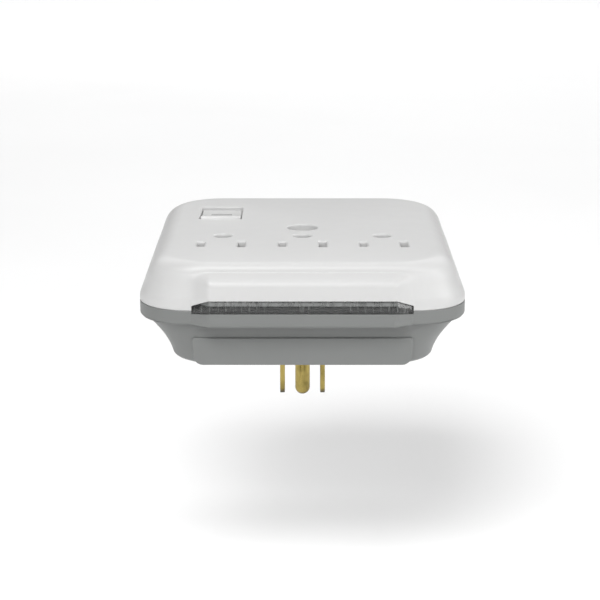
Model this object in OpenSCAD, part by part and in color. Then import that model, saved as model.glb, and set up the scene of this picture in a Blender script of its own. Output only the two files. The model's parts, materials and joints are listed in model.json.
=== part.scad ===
// Three-outlet surge-protecting wall tap. Z = 0 is the wall plate it plugs into, +Z points into the room.
// The origin lies on that plane, midway between the two flat blades of the plug; +Y runs towards
// the ground pin and the mounting screw, and +X towards the neutral blade.

/* [Case] */
// Width of the case at the parting line
case_w = 99.8; // [99:0.2:102]
// Distance from the blade line to the front edge of the case
case_front = 28.2; // [27.6:0.1:29]
// Distance from the blade line to the back edge of the case
case_back = 75.3; // [74.5:0.1:78]
// Height of the face above the wall
case_h = 31.5; // [31:0.1:33]
// Height of the line where the two shells meet
parting_z = 17.4; // [17:0.1:17.8]
// Plan radius of the case corners
corner_r = 16; // [14:0.5:16]
// Thickness of both shells
wall = 2.2; // [2:0.1:2.4]

/* [Nose and pad] */
// How far the front of the nose stands ahead of the blade line
nose_front = 32; // [31.5:0.1:33]
// Half-width of the nose's front face
nose_hw = 28; // [26:0.5:29]
// Half-width where the nose's slanted ends meet the case
nose_root_hw = 33; // [32:0.5:34]
// Top edge of the indicator window
window_top = 21.2; // [20.8:0.1:21.6]
// Front face of the raised pad below the nose
pad_front = 26.6; // [26.2:0.1:27.2]

/* [Outlets and plug] */
// Spacing of the three outlets
outlet_pitch = 25.4; // [25:0.1:26]
// Spacing of the two blade slots of one outlet
slot_pitch = 12.7; // [12.6:0.1:12.8]
// Distance from the slots to the ground hole
ground_offset = 11.9; // [11.8:0.1:12]
// Length of a flat blade outside the case
blade_out = 16.6; // [15.9:0.1:18]
// Length of the ground pin outside the case
ground_out = 21.2; // [20:0.1:23]

/* [Switch] */
// Centre of the switch across the case
switch_x = -27.3; // [-28:0.1:-27]
// Centre of the switch from the blade line
switch_y = 46.9; // [46:0.1:48]
// Full travel of the rocker in degrees
rocker_travel = 11; // [8:0.5:11]

/* [Mounting screw] */
// Distance from the blade line to the centre screw of a duplex receptacle
screw_y = 24.2; // [24.1:0.1:24.3]

/* [Hidden] */
$fn = 48;

white = [0.90, 0.90, 0.89];
grey = [0.55, 0.56, 0.55];
brass = [0.78, 0.63, 0.27];
eps = 0.01;
gap = 0.1;

case_hw = case_w / 2;
outlets = [-outlet_pitch, 0, outlet_pitch];
line_x = -slot_pitch / 2;
neutral_x = slot_pitch / 2;
inner_top = case_h - wall;

// Rounding and slopes of the two shells
side_round = 7.4;
side_band_z = parting_z + 2.2;
side_slope = 0.52;
back_round = 2.5;
back_slope = 0.16;
front_round = 3;
front_band_z = parting_z + 3.6;
front_slope = 0.22;
corner_shrink = 0.27;
cove_top = 13.1;
cove_depth = 10;
cove_front_depth = 2.6;
cove_power = 1.64;
lip_step = 1.6;
lip_edge = 0.6;
base_round = 1.4;
base_corner_r = 13.6;
foot_h = 0.5;

// Heights inside the case
carrier_z = 9.5;
carrier_t = 3.5;
bus_z = carrier_z + carrier_t;
bus_t = 0.8;
board_z = 7;
board_t = 1.6;
board_top = board_z + board_t;
board_post_x = [-13, 25];
board_post_y = [33, 62];
contact_top = 25;

// Fasteners
case_screw_spots = [[-34, -13.5], [34, -13.5], [-26, 60.6], [33.5, 56.5]];
boss_top = 12;
screw_seat_z = 21.6;
well_r = 4.8;
well_floor = 1.6;
head_recess_r = 3.9;
head_recess_top = 24.3;
screw_r = 1.75;
screw_tip = -9;
clip_z = 13.2;
clip_t = 0.6;

// Switch
pivot_z = case_h - 4;
rocker_hx = 6.4;
rocker_hy = 9.3;
opening_hx = 6.95;
opening_hy = 9.9;
rocker_sweep_r = 9.55;
arm_travel = 16;
arm_z = 20.3;
fulcrum_r = 0.35;
switch_floor_z = 16;
load_y = switch_y - 5.5;

// Window, light baffle and lights
lens_t = 1.8;
lens_end_hw = 33.1;
baffle_hw = 27.7;
led_z = 19.3;
led_r = 1;
led_fault_x = -16.5;
led_ok_x = 13.4;
indicator_y = -23.6;
indicator_t = 1.6;

// ---- outlines and lofts ------------------------------------------------------------------

// Points of one level of a rounded box: half-width hw, from y0 to y1, corner radius r, height z
corner_steps = 7;
function ring(hw, y0, y1, r, z) = [
    for (corner = [0:3]) for (k = [0:corner_steps])
        let (a = 90 * corner + 90 * k / corner_steps,
             cx = (corner == 0 || corner == 3 ? 1 : -1) * (hw - r),
             cy = corner < 2 ? y1 - r : y0 + r)
        [cx + r * cos(a), cy + r * sin(a), z]
];

// Distance that a quarter round of radius r, starting at height z0, has pulled in at height z
function round_in(z, z0, r) = z <= z0 ? 0 : r - sqrt(max(r * r - pow(min(z - z0, r), 2), 0));

// Distance that a wall has come in at height z: upright, then sloping from z0, then rounded to the top
function wall_in(z, z0, slope, r) = slope * max(min(z, case_h - r) - z0, 0) + round_in(z, case_h - r, r);

function cover_side(z) = case_hw - wall_in(z, side_band_z, side_slope, side_round);
function cover_back(z) = case_back - wall_in(z, front_band_z, back_slope, back_round);
function cover_front(z) = -case_front + wall_in(z, front_band_z, front_slope, front_round);
function cover_corner(z) = corner_r - corner_shrink * (case_hw - cover_side(z));

// Distance that the housing stands in from the lip at height z, given its depth at the base
function cove(z) = 1 - pow(min(z / cove_top, 1), cove_power);
function base_in(z) = round_in(base_round - min(z, base_round), 0, base_round);
function cove_in(z, depth) = z > cove_top ? lip_in(z) : lip_step + (depth - lip_step) * cove(z) + base_in(z);
function lip_in(z) = round_in(lip_edge - min(z - cove_top, lip_edge), 0, lip_edge);
function housing_side(z) = case_hw - cove_in(z, cove_depth);
function housing_back(z) = case_back - cove_in(z, cove_depth);
function housing_front(z) = -case_front + cove_in(z, cove_front_depth);
function housing_corner(z) = z > cove_top ? corner_r - lip_in(z)
    : corner_r - lip_step - (corner_r - lip_step - base_corner_r) * cove(z) - base_in(z);

// A closed skin through a stack of levels
module loft(levels) {
    n = len(levels[0]);
    m = len(levels);
    sides = [
        for (i = [0:m - 2]) for (j = [0:n - 1])
            let (a = i * n + j, b = i * n + (j + 1) % n)
            each [[a, a + n, b + n], [a, b + n, b]]
    ];
    floor_face = [for (j = [0:n - 1]) j];
    roof_face = [for (j = [n - 1:-1:0]) (m - 1) * n + j];
    polyhedron([for (level = levels) each level], concat([floor_face], sides, [roof_face]));
}

// A tube of radius r swept along a path of points
module sweep(path, r, sides = 8) {
    m = len(path);
    function along(i) = let (d = path[min(i + 1, m - 1)] - path[max(i - 1, 0)]) d / norm(d);
    function across(i) = let (c = cross(along(i), [0.37, 0.21, 0.9])) c / norm(c);
    points = [
        for (i = [0:m - 1])
            let (u = across(i), v = cross(along(i), u))
            for (k = [0:sides - 1]) path[i] + r * (u * cos(360 * k / sides) + v * sin(360 * k / sides))
    ];
    skin = [
        for (i = [0:m - 2]) for (k = [0:sides - 1])
            let (a = i * sides + k, b = i * sides + (k + 1) % sides)
            each [[a, b, b + sides], [a, b + sides, a + sides]]
    ];
    start_face = [for (k = [sides - 1:-1:0]) k];
    end_face = [for (k = [0:sides - 1]) (m - 1) * sides + k];
    polyhedron(points, concat([start_face], skin, [end_face]));
}

// A smooth route through hand-placed points, with a few steps between each pair
route_steps = 5;
function route_point(p, i, t) =
    let (a = p[max(i - 1, 0)], b = p[i], c = p[i + 1], d = p[min(i + 2, len(p) - 1)])
    0.5 * (2 * b + (c - a) * t + (2 * a - 5 * b + 4 * c - d) * t * t + (3 * b - a - 3 * c + d) * t * t * t);
function route(p) = concat(
    [for (i = [0:len(p) - 2]) for (s = [0:route_steps - 1]) route_point(p, i, s / route_steps)],
    [p[len(p) - 1]]
);

module rounded_rect(w, l, r) {
    square([w - 2 * r, l], center = true);
    square([w, l - 2 * r], center = true);
    for (sx = [-1, 1], sy = [-1, 1])
        translate([sx * (w / 2 - r), sy * (l / 2 - r)]) circle(r);
}

module block(x0, x1, y0, y1, z0, z1) {
    translate([x0, y0, z0]) cube([x1 - x0, y1 - y0, z1 - z0]);
}

module rod(x, y, z0, z1, r) {
    translate([x, y, z0]) cylinder(r = r, h = z1 - z0);
}

// Plan of the nose, pulled in by a wall thickness
module nose_plan(inset = 0) {
    back_y = -24;
    polygon([
        [-(nose_root_hw - inset), back_y], [-(nose_root_hw - inset), -case_front + 0.4 * inset],
        [-(nose_hw - 0.6 * inset), -(nose_front - inset)], [nose_hw - 0.6 * inset, -(nose_front - inset)],
        [nose_root_hw - inset, -case_front + 0.4 * inset], [nose_root_hw - inset, back_y]
    ]);
}

// The window's opening as seen from the front, grown by a clearance, as a prism from y0 to y1
module window_prism(grow, y0, y1) {
    end_top = parting_z + 1.4;
    end_low = parting_z - 0.9;
    translate([0, y1, 0]) rotate([90, 0, 0]) linear_extrude(y1 - y0) polygon([
        [-(lens_end_hw + grow), end_low - grow], [-(lens_end_hw + grow), end_top + grow],
        [-nose_hw, window_top + grow], [nose_hw, window_top + grow],
        [lens_end_hw + grow, end_top + grow], [lens_end_hw + grow, end_low - grow],
        [nose_hw, parting_z - grow], [-nose_hw, parting_z - grow]
    ]);
}

// Side profile of the hood over the window: flat top, rounded front edge
module hood_solid(inset = 0) {
    top = 27.6 - inset;
    lead = -(nose_front - inset);
    edge_r = 2.4;
    intersection() {
        translate([0, 0, parting_z]) linear_extrude(case_h - parting_z) nose_plan(inset);
        rotate([90, 0, 90]) translate([0, 0, -nose_root_hw]) linear_extrude(2 * nose_root_hw) polygon(concat(
            [[-22, parting_z], [lead, parting_z]],
            [for (a = [180:-15:90]) [lead + edge_r + edge_r * cos(a), top - edge_r + edge_r * sin(a)]],
            [[-22, top + 0.4]]
        ));
    }
}

// ---- shells --------------------------------------------------------------------------------

cover_levels = [0, 2.2, 3.6, 6.7, 8.6, 10.4, 11.8, 12.8, 13.5, 13.9, 14.1];
cavity_levels = [0, 2.2, 5.4, 8.2, 10, 11.1];

module cover_skin() {
    loft([for (up = cover_levels) let (z = min(parting_z + up, case_h))
        ring(cover_side(z), cover_front(z), cover_back(z), cover_corner(z), z)]);
}

module cover_cavity() {
    reach = inner_top - parting_z;
    levels = [for (up = cavity_levels) let (z = parting_z + up * (case_h - parting_z) / cavity_levels[5])
        ring(cover_side(z) - wall, cover_front(z) + wall, cover_back(z) - wall,
             cover_corner(z) - wall, parting_z + up * reach / cavity_levels[5])];
    skirt = [for (p = levels[0]) [p.x, p.y, parting_z - 1]];
    loft(concat([skirt], levels));
}

module outlet_holes() {
    slot_w = 2.2;
    line_l = 6.6;
    neutral_l = 8;
    for (x = outlets) {
        block(x + line_x - slot_w / 2, x + line_x + slot_w / 2, -line_l / 2, line_l / 2, 24, case_h + 1);
        block(x + neutral_x - slot_w / 2, x + neutral_x + slot_w / 2, -neutral_l / 2, neutral_l / 2,
              24, case_h + 1);
        rod(x, ground_offset, 24, case_h + 1, 2.65);
    }
}

module top_cover() {
    boss_low = inner_top - 4;
    color(white) difference() {
        union() {
            difference() {
                union() {
                    cover_skin();
                    hood_solid();
                }
                cover_cavity();
                hood_solid(2);
            }
            for (p = case_screw_spots) rod(p.x, p.y, boss_top + gap, inner_top + eps, 2.7);
            for (x = outlets) rod(x, ground_offset, boss_low, inner_top + eps, 4);
            rod(0, screw_y, screw_seat_z - well_floor, inner_top + eps, well_r + 1.4);
        }
        window_prism(gap, -nose_front - 1, -24.5);
        outlet_holes();
        for (p = case_screw_spots) rod(p.x, p.y, boss_top - 1, 22, 1.55);
        rod(0, screw_y, head_recess_top, case_h + 1, well_r);
        rod(0, screw_y, screw_seat_z, head_recess_top + 1, head_recess_r);
        rod(0, screw_y, 19, screw_seat_z + 1, 2.1);
        block(switch_x - opening_hx, switch_x + opening_hx, switch_y - opening_hy, switch_y + opening_hy,
              24, case_h + 1);
    }
}

housing_levels = [0.1, 0.4, 0.8, 1.4, 3, 5, 7, 9, 11, 13.1, 13.11, 13.25, 13.45, 13.7];
housing_cavity_levels = [2.2, 4, 7, 9.5, 11.5, 13.1];

module housing_skin() {
    loft(concat(
        [for (z = housing_levels)
            ring(housing_side(z), housing_front(z), housing_back(z), housing_corner(z), z)],
        [ring(case_hw, -case_front, case_back, corner_r, parting_z)]
    ));
}

module housing_cavity() {
    levels = [for (z = housing_cavity_levels)
        ring(housing_side(z) - wall, housing_front(z) + wall, housing_back(z) - wall,
             housing_corner(z) - wall, z)];
    roof = [for (p = levels[len(levels) - 1]) [p.x, p.y, parting_z + 1]];
    loft(concat(levels, [roof]));
}

module front_pad() {
    pad_hw = 33.4;
    pad_h = 8.5;
    translate([0, -16, pad_h / 2]) rotate([90, 0, 0]) linear_extrude(pad_front - 16)
        rounded_rect(2 * pad_hw, pad_h, 1.6);
}

module foot_plate() {
    foot_hw = case_hw - cove_depth - base_round;
    foot_front = -case_front + cove_front_depth + base_round;
    foot_back = case_back - cove_depth - base_round;
    translate([0, (foot_front + foot_back) / 2, 0]) linear_extrude(foot_h)
        rounded_rect(2 * foot_hw, foot_back - foot_front, base_corner_r - base_round);
}

module housing_posts() {
    for (p = case_screw_spots) rod(p.x, p.y, 0.1, boss_top, 4);
    for (sx = [-1, 1], y = [-7, 18]) rod(sx * 33, y, wall - eps, carrier_z, 2.2);
    for (x = board_post_x, y = board_post_y) rod(x, y, wall - eps, board_z, 2);
    block(-10.5, 10.5, -5.6, 5.6, wall - eps, 5);
    rod(0, ground_offset, wall - eps, 6, 5);
    rod(0, screw_y, wall - eps, boss_top, 3.6);
}

module bottom_housing() {
    label_depth = 0.4;
    color(grey) difference() {
        union() {
            difference() {
                union() {
                    housing_skin();
                    front_pad();
                    foot_plate();
                    intersection() {
                        translate([0, 0, cove_top]) linear_extrude(parting_z - cove_top) nose_plan();
                        block(-60, 60, -40, -20, 0, 40);
                    }
                }
                housing_cavity();
                translate([0, 0, 15.4]) linear_extrude(4) nose_plan(2);
            }
            housing_posts();
        }
        window_prism(gap, -nose_front - 1, -24.5);
        for (p = case_screw_spots) {
            rod(p.x, p.y, -1, 5, 3.2);
            rod(p.x, p.y, 4, boss_top + 1, 1.6);
        }
        for (x = [line_x, neutral_x]) block(x - 0.85, x + 0.85, -3.3, 3.3, -1, 6);
        rod(0, ground_offset, -1, 7, 3.25);
        rod(0, screw_y, -1, boss_top + 1, 2.1);
        block(-20, 20, 34, 54, -1, label_depth);
    }
}

module rating_label() {
    color([0.85, 0.85, 0.83]) translate([0, 44, 0.15]) linear_extrude(0.2) rounded_rect(39, 19, 1);
}

// ---- window and indicators -------------------------------------------------------------------

module indicator_lens() {
    rib_pitch = 2.3;
    rib_depth = 0.5;
    color([0.62, 0.64, 0.63]) union() {
        intersection() {
            difference() {
                translate([0, 0, 15]) linear_extrude(8) nose_plan();
                translate([0, 0, 14]) linear_extrude(10) nose_plan(lens_t);
                block(-60, 60, -27.6, -20, 10, 30);
            }
            window_prism(0, -nose_front - 1, -24);
        }
        for (i = [-11:11]) translate([i * rib_pitch - 0.3, -nose_front + lens_t - eps, parting_z + 0.4])
            cube([0.6, rib_depth, 2.8]);
    }
}

module light_baffle() {
    lead = -nose_front + lens_t + 0.6;
    back = indicator_y - 0.3;
    low = parting_z + 0.1;
    high = window_top - 0.1;
    color([0.10, 0.10, 0.11]) difference() {
        block(-baffle_hw, baffle_hw, lead, back, low, high);
        block(-baffle_hw + 0.8, baffle_hw - 0.8, lead - 1, back - 1, low + 0.6, high - 0.6);
        for (x = [led_fault_x, led_ok_x]) translate([x, back + 1, led_z])
            rotate([90, 0, 0]) cylinder(r = led_r + gap, h = 4, center = true);
    }
}

module led(x) {
    translate([x, indicator_y, led_z]) rotate([90, 0, 0]) {
        cylinder(r = led_r, h = 3.6);
        translate([0, 0, 3.6]) sphere(r = led_r);
    }
}

module led_protected() {
    color([0.45, 0.85, 0.50]) led(led_ok_x);
}

module led_wiring_fault() {
    color([0.95, 0.65, 0.20]) led(led_fault_x);
}

module indicator_board() {
    color([0.16, 0.42, 0.24]) difference() {
        block(-24, 22, indicator_y, indicator_y + indicator_t, 14.5, 26.5);
        for (x = [-20, 18]) translate([x, indicator_y + 1, 24]) rotate([90, 0, 0])
            cylinder(r = 0.8, h = 4, center = true);
    }
}

module led_resistors() {
    color([0.75, 0.66, 0.48]) for (x = [-8, 2])
        translate([x, indicator_y + indicator_t + 1.1, 17]) cylinder(r = 1.1, h = 6);
}

// ---- plug and contacts -----------------------------------------------------------------------

// A flat blade: chamfered tip, plain shank and a wider shoulder that rests on the housing
module blade(top_z) {
    t = 1.5;
    w = 6.35;
    tip = 1.2;
    color(brass) union() {
        rotate([90, 0, 90]) translate([0, 0, -t / 2]) linear_extrude(t) polygon([
            [-w / 2, 0], [-w / 2, -blade_out + tip], [-w / 2 + tip, -blade_out],
            [w / 2 - tip, -blade_out], [w / 2, -blade_out + tip], [w / 2, 0]
        ]);
        block(-t / 2, t / 2, -w / 2, w / 2, -eps, top_z);
        block(-t / 2, t / 2, -4.4, 4.4, 5, 6.6);
    }
}

module line_blade() {
    translate([line_x, 0, 0]) blade(carrier_z - 1);
}

module neutral_blade() {
    translate([neutral_x, 0, 0]) blade(bus_z);
}

// Round pin with a domed end below the wall plane and a thicker collar inside the housing
module ground_pin() {
    pin_r = 2.4;
    dome_z = -ground_out + pin_r;
    color(brass) translate([0, ground_offset, 0]) union() {
        translate([0, 0, dome_z]) cylinder(r = pin_r, h = -dome_z);
        translate([0, 0, dome_z]) sphere(r = pin_r);
        cylinder(r = 3.2, h = 10);
        translate([0, 0, 6]) cylinder(r = 4.4, h = 1.2);
    }
}

module contact_carrier() {
    color([0.20, 0.20, 0.21]) difference() {
        block(-36, 36, -9.5, 20.5, carrier_z, bus_z);
        for (x = outlets) rod(x, ground_offset, carrier_z - 1, bus_z + 1, 3.6);
        block(neutral_x - 1, neutral_x + 1, -3.4, 3.4, carrier_z - 1, bus_z + 1);
    }
}

// Two upright leaves that grip a blade, on a foot joined to the bus strip
module wipe_contact(x, foot_y0, foot_y1) {
    leaf_t = 0.6;
    leaf_gap = 1.3;
    leaf_hy = 2.6;
    for (s = [-1, 1]) translate([x + s * (leaf_gap + leaf_t) / 2, 0, bus_z])
        translate([-leaf_t / 2, -leaf_hy, 0]) cube([leaf_t, 2 * leaf_hy, contact_top - bus_z]);
    block(x - 1.9, x + 1.9, foot_y0, foot_y1, bus_z, bus_z + bus_t);
}

module line_bus() {
    color(brass) union() {
        block(outlets[0] + line_x - 2, outlets[2] + line_x + 2, -9, -5.4, bus_z, bus_z + bus_t);
        for (x = outlets) wipe_contact(x + line_x, -6, 2.6);
    }
}

module neutral_bus() {
    color(brass) union() {
        block(outlets[0] + neutral_x - 2, outlets[2] + neutral_x + 2, 4.4, 7.6, bus_z, bus_z + bus_t);
        for (x = outlets) wipe_contact(x + neutral_x, -2.6, 5);
    }
}

module ground_bus() {
    sleeve_r = 3.3;
    sleeve_low = 10;
    color(brass) difference() {
        union() {
            block(outlets[0] - 2, outlets[2] + 2, 16.4, 19.4, bus_z, bus_z + bus_t);
            for (x = outlets) {
                rod(x, ground_offset, sleeve_low, contact_top - 0.2, sleeve_r);
                block(x - 1.6, x + 1.6, ground_offset, 17, bus_z, bus_z + bus_t);
            }
        }
        for (x = outlets) rod(x, ground_offset, sleeve_low - 1, contact_top + 1, 2.5);
    }
}

// ---- surge circuit ---------------------------------------------------------------------------

module surge_board() {
    color([0.16, 0.42, 0.24]) difference() {
        block(-16, 28, 30.5, 64.5, board_z, board_top);
        for (x = board_post_x, y = board_post_y) rod(x, y, board_z - 1, board_top + 1, 1.2);
    }
}

varistor_r = 8;
varistor_t = 5;
varistor_x = -3;
lead_r = 0.45;

// A disc varistor standing on its two leads
module varistor(y, tint) {
    centre_z = board_top + 1.6 + varistor_r;
    color(tint) union() {
        translate([varistor_x, y, centre_z]) rotate([90, 0, 0])
            cylinder(r = varistor_r, h = varistor_t, center = true);
        for (sx = [-1, 1]) rod(varistor_x + sx * 3.75, y, board_top, centre_z, lead_r);
    }
}

module varistor_line_neutral() {
    varistor(37, [0.16, 0.30, 0.62]);
}

module varistor_line_ground() {
    varistor(45, [0.16, 0.30, 0.62]);
}

module varistor_neutral_ground() {
    varistor(53, [0.16, 0.30, 0.62]);
}

// An axial part lying along X, with its leads bent down to the board
module axial(x, y, body_l, body_r, reach) {
    lift = body_r + 0.4;
    translate([x, y, board_top + lift]) {
        rotate([0, 90, 0]) cylinder(r = body_r, h = body_l, center = true);
        rotate([0, 90, 0]) cylinder(r = lead_r, h = 2 * reach, center = true);
        for (sx = [-1, 1]) translate([sx * reach, 0, -lift]) cylinder(r = lead_r, h = lift + lead_r);
    }
}

module thermal_fuse() {
    color([0.72, 0.70, 0.66]) axial(17, 59.5, 9, 1.9, 7);
}

module filter_capacitor() {
    color([0.80, 0.66, 0.20]) union() {
        block(8.5, 26.5, 37.5, 45, board_top + 0.6, board_top + 14.6);
        for (x = [10.5, 24.5]) rod(x, 41.25, board_top, board_top + 2, lead_r);
    }
}

module board_resistors() {
    color([0.75, 0.66, 0.48]) for (y = [48.6, 52]) axial(17, y, 6.4, 1.2, 5);
}

module board_diodes() {
    color([0.14, 0.14, 0.15]) for (x = [11, 21]) axial(x, 55.4, 4, 1, 3.2);
}

// ---- switch ----------------------------------------------------------------------------------

// Places its children on the rocker's pivot, turned to the rest position with the far end pressed
module at_pivot() {
    translate([switch_x, switch_y, pivot_z]) rotate([-rocker_travel / 2, 0, 0]) children();
}

module switch_housing() {
    shell = 1;
    hx = opening_hx + shell;
    hy = opening_hy + shell;
    color([0.86, 0.86, 0.85]) difference() {
        block(switch_x - hx, switch_x + hx, switch_y - hy, switch_y + hy, switch_floor_z, inner_top);
        block(switch_x - opening_hx, switch_x + opening_hx, switch_y - opening_hy, switch_y + opening_hy,
              switch_floor_z + 1.5, inner_top + 1);
        translate([switch_x, switch_y, pivot_z]) rotate([0, 90, 0])
            cylinder(r = 1.05, h = 2 * hx + 2, center = true);
        for (y = [switch_y, load_y]) block(switch_x - 2.7, switch_x + 2.7, y - 0.5, y + 0.5,
                                           switch_floor_z - 1, switch_floor_z + 2);
    }
}

module switch_rocker() {
    end_z = 3.9;
    middle_z = 3.1;
    skirt_z = -1.6;
    color(white) at_pivot() difference() {
        union() {
            intersection() {
                rotate([90, 0, 90]) translate([0, 0, -rocker_hx]) linear_extrude(2 * rocker_hx) polygon([
                    [-rocker_hy, skirt_z], [-rocker_hy, end_z], [0, middle_z],
                    [rocker_hy, end_z], [rocker_hy, skirt_z]
                ]);
                rotate([0, 90, 0]) cylinder(r = rocker_sweep_r, h = 2 * rocker_hx + 1, center = true);
            }
            rotate([0, 90, 0]) cylinder(r = 1, h = 2 * (opening_hx + 0.9), center = true);
            translate([0, 0, -4.6]) cylinder(r = 2.2, h = 4.6);
        }
        translate([0, 0, -5]) cylinder(r = 1.35, h = 5.6);
    }
}

module switch_plunger() {
    color(brass) at_pivot() {
        translate([0, 0, -5.35]) cylinder(r = 1.3, h = 1.75);
        translate([0, 0, -5.35]) sphere(r = 1.1);
    }
}

module switch_spring() {
    turns = 5;
    ring_steps = 12;
    low = -3.4;
    length = 3.6;
    coil_wire_r = 0.16;
    color([0.75, 0.76, 0.78]) at_pivot() sweep([
        for (i = [0:turns * ring_steps]) let (a = 360 * i / ring_steps)
            [0.95 * cos(a), 0.95 * sin(a), low + length * i / (turns * ring_steps)]
    ], coil_wire_r, 6);
}

// Rocking contact: a flat strip over a round fulcrum that turns on the feed terminal
module switch_contact_arm() {
    arm_t = 0.6;
    arm_hx = 1.6;
    arm_hy = 6;
    color(brass) translate([switch_x, switch_y, arm_z]) rotate([arm_travel / 2, 0, 0]) {
        translate([-arm_hx, -arm_hy, 0]) cube([2 * arm_hx, 2 * arm_hy, arm_t]);
        rotate([0, 90, 0]) cylinder(r = fulcrum_r, h = 2 * arm_hx, center = true);
    }
}

module switch_terminal(y, top_z) {
    low_z = 10.5;
    color(brass) difference() {
        block(switch_x - 2.4, switch_x + 2.4, y - 0.4, y + 0.4, low_z, top_z);
        translate([switch_x, y, low_z + 2]) rotate([90, 0, 0]) cylinder(r = 0.9, h = 4, center = true);
    }
}

module switch_feed_terminal() {
    switch_terminal(switch_y, arm_z - fulcrum_r - 0.05);
}

module switch_load_terminal() {
    switch_terminal(load_y, arm_z - 1);
}

// ---- fasteners -------------------------------------------------------------------------------

// Captive screw with a rounded, slotted head, seated on the floor of its well
module mounting_screw() {
    shank_r = 1.5;
    point_h = 1.2;
    head_r = 3.6;
    head_h = 1.4;
    dome_h = 0.9;
    dome_r = (head_r * head_r + dome_h * dome_h) / (2 * dome_h);
    color([0.80, 0.81, 0.82]) translate([0, screw_y, 0]) difference() {
        union() {
            cylinder(r = shank_r, h = screw_seat_z + eps);
            translate([0, 0, screw_tip + point_h]) cylinder(r = screw_r, h = -screw_tip - point_h);
            translate([0, 0, screw_tip]) cylinder(r1 = 0.6, r2 = screw_r, h = point_h);
            translate([0, 0, screw_seat_z]) cylinder(r = head_r, h = head_h);
            intersection() {
                translate([0, 0, screw_seat_z + head_h + dome_h - dome_r]) sphere(r = dome_r, $fn = 96);
                translate([0, 0, screw_seat_z + head_h - eps]) cylinder(r = head_r, h = 3);
            }
        }
        translate([0, 0, screw_seat_z + head_h + 0.5]) cube([9, 1.1, 1.4], center = true);
        translate([0, 0, clip_z - 0.05]) difference() {
            cylinder(r = 3, h = clip_t + 0.1);
            translate([0, 0, -1]) cylinder(r = 1.3, h = clip_t + 3);
        }
    }
}

module screw_clip() {
    color([0.35, 0.36, 0.38]) translate([0, screw_y, clip_z]) difference() {
        cylinder(r = 3.2, h = clip_t);
        translate([0, 0, -1]) cylinder(r = 1.36, h = 3);
        translate([0, 2.5, 0]) cube([2.2, 5, 4], center = true);
    }
}

module case_screws() {
    color([0.45, 0.46, 0.48]) for (p = case_screw_spots) translate([p.x, p.y, 0]) difference() {
        union() {
            translate([0, 0, 2.9]) cylinder(r = 2.8, h = 2.1);
            translate([0, 0, 5 - eps]) cylinder(r = 1.5, h = 15);
        }
        for (turn = [0, 90]) rotate([0, 0, turn]) translate([0, 0, 3.2])
            cube([3, 0.8, 1.6], center = true);
    }
}

// ---- wiring inside the case --------------------------------------------------------------------

wire_r = 1.1;

module wire(points, tint, r = wire_r) {
    color(tint) sweep(route(points), r);
}

module switch_feed_lead() {
    wire([[line_x - 1.9, 0, 7.8], [-12, 4, 7], [-16, 16, 6], [-22, 28, 6], [-26, 38, 6.5],
          [switch_x, switch_y - 2.1, 9.5], [switch_x, switch_y - 1.8, 14.5]], [0.12, 0.12, 0.13]);
}

module switch_load_lead() {
    wire([[switch_x, load_y - 1.8, 14.5], [switch_x, load_y - 2.2, 11], [-24, 37, 10.2], [-19, 35.5, 10.6],
          [-12, 35.6, 10.6]], [0.12, 0.12, 0.13]);
}

module line_bus_lead() {
    wire([[-12, 32.4, 10.2], [-16, 27.5, 10.6], [-24, 24.5, 14], [-34, 20, 16.2], [-38.4, 8, 16.2],
          [-37.6, -4, 16], [-33.6, -7.2, 15]], [0.12, 0.12, 0.13]);
}

module neutral_lead() {
    wire([[33.4, 6, 15], [38, 10, 16], [38.4, 20, 15.5], [32, 28, 13], [24, 33, 11], [16, 34.4, 10.2]],
         [0.86, 0.86, 0.84]);
}

module ground_lead() {
    wire([[25, 18, 15], [25, 22.5, 15.4], [18, 26.5, 13], [10, 30, 11], [8, 33.4, 10.2]],
         [0.20, 0.52, 0.28]);
}

module indicator_leads() {
    for (lift = [0, 1.8]) wire([
        [26.6 - lift, 48, 9.2], [31, 42, 16 + lift], [35.5, 30, 20.5 + lift], [37.5, 14, 20.5 + lift],
        [36.5, -3, 20.5 + lift], [27.5, -10, 21 + lift], [19, -18, 20.5 + lift], [12, -21.2, 18 + lift]
    ], [0.70, 0.16, 0.14], 0.6);
}

top_cover();
bottom_housing();
indicator_lens();
light_baffle();
line_blade();
neutral_blade();
ground_pin();
contact_carrier();
line_bus();
neutral_bus();
ground_bus();
surge_board();
varistor_line_neutral();
varistor_line_ground();
varistor_neutral_ground();
thermal_fuse();
filter_capacitor();
board_resistors();
board_diodes();
indicator_board();
led_protected();
led_wiring_fault();
led_resistors();
switch_housing();
switch_rocker();
switch_plunger();
switch_spring();
switch_contact_arm();
switch_feed_terminal();
switch_load_terminal();
mounting_screw();
screw_clip();
case_screws();
switch_feed_lead();
switch_load_lead();
line_bus_lead();
neutral_lead();
ground_lead();
indicator_leads();
rating_label();
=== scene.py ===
"""Looks for a three-outlet surge-protecting wall tap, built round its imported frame.

The frame's nodes give every position. Shells, window, rocker, plug and screw get detailed meshes
that stand for their nodes; the pieces inside keep their own meshes and take a finish.
All sizes below are millimetres unless a name or docstring says otherwise.
"""

import json
import logging
import math
from dataclasses import dataclass, field, replace
from enum import Enum
from typing import Callable, Iterable, Sequence

import bmesh
import bpy
from mathutils import Matrix, Vector


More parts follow.
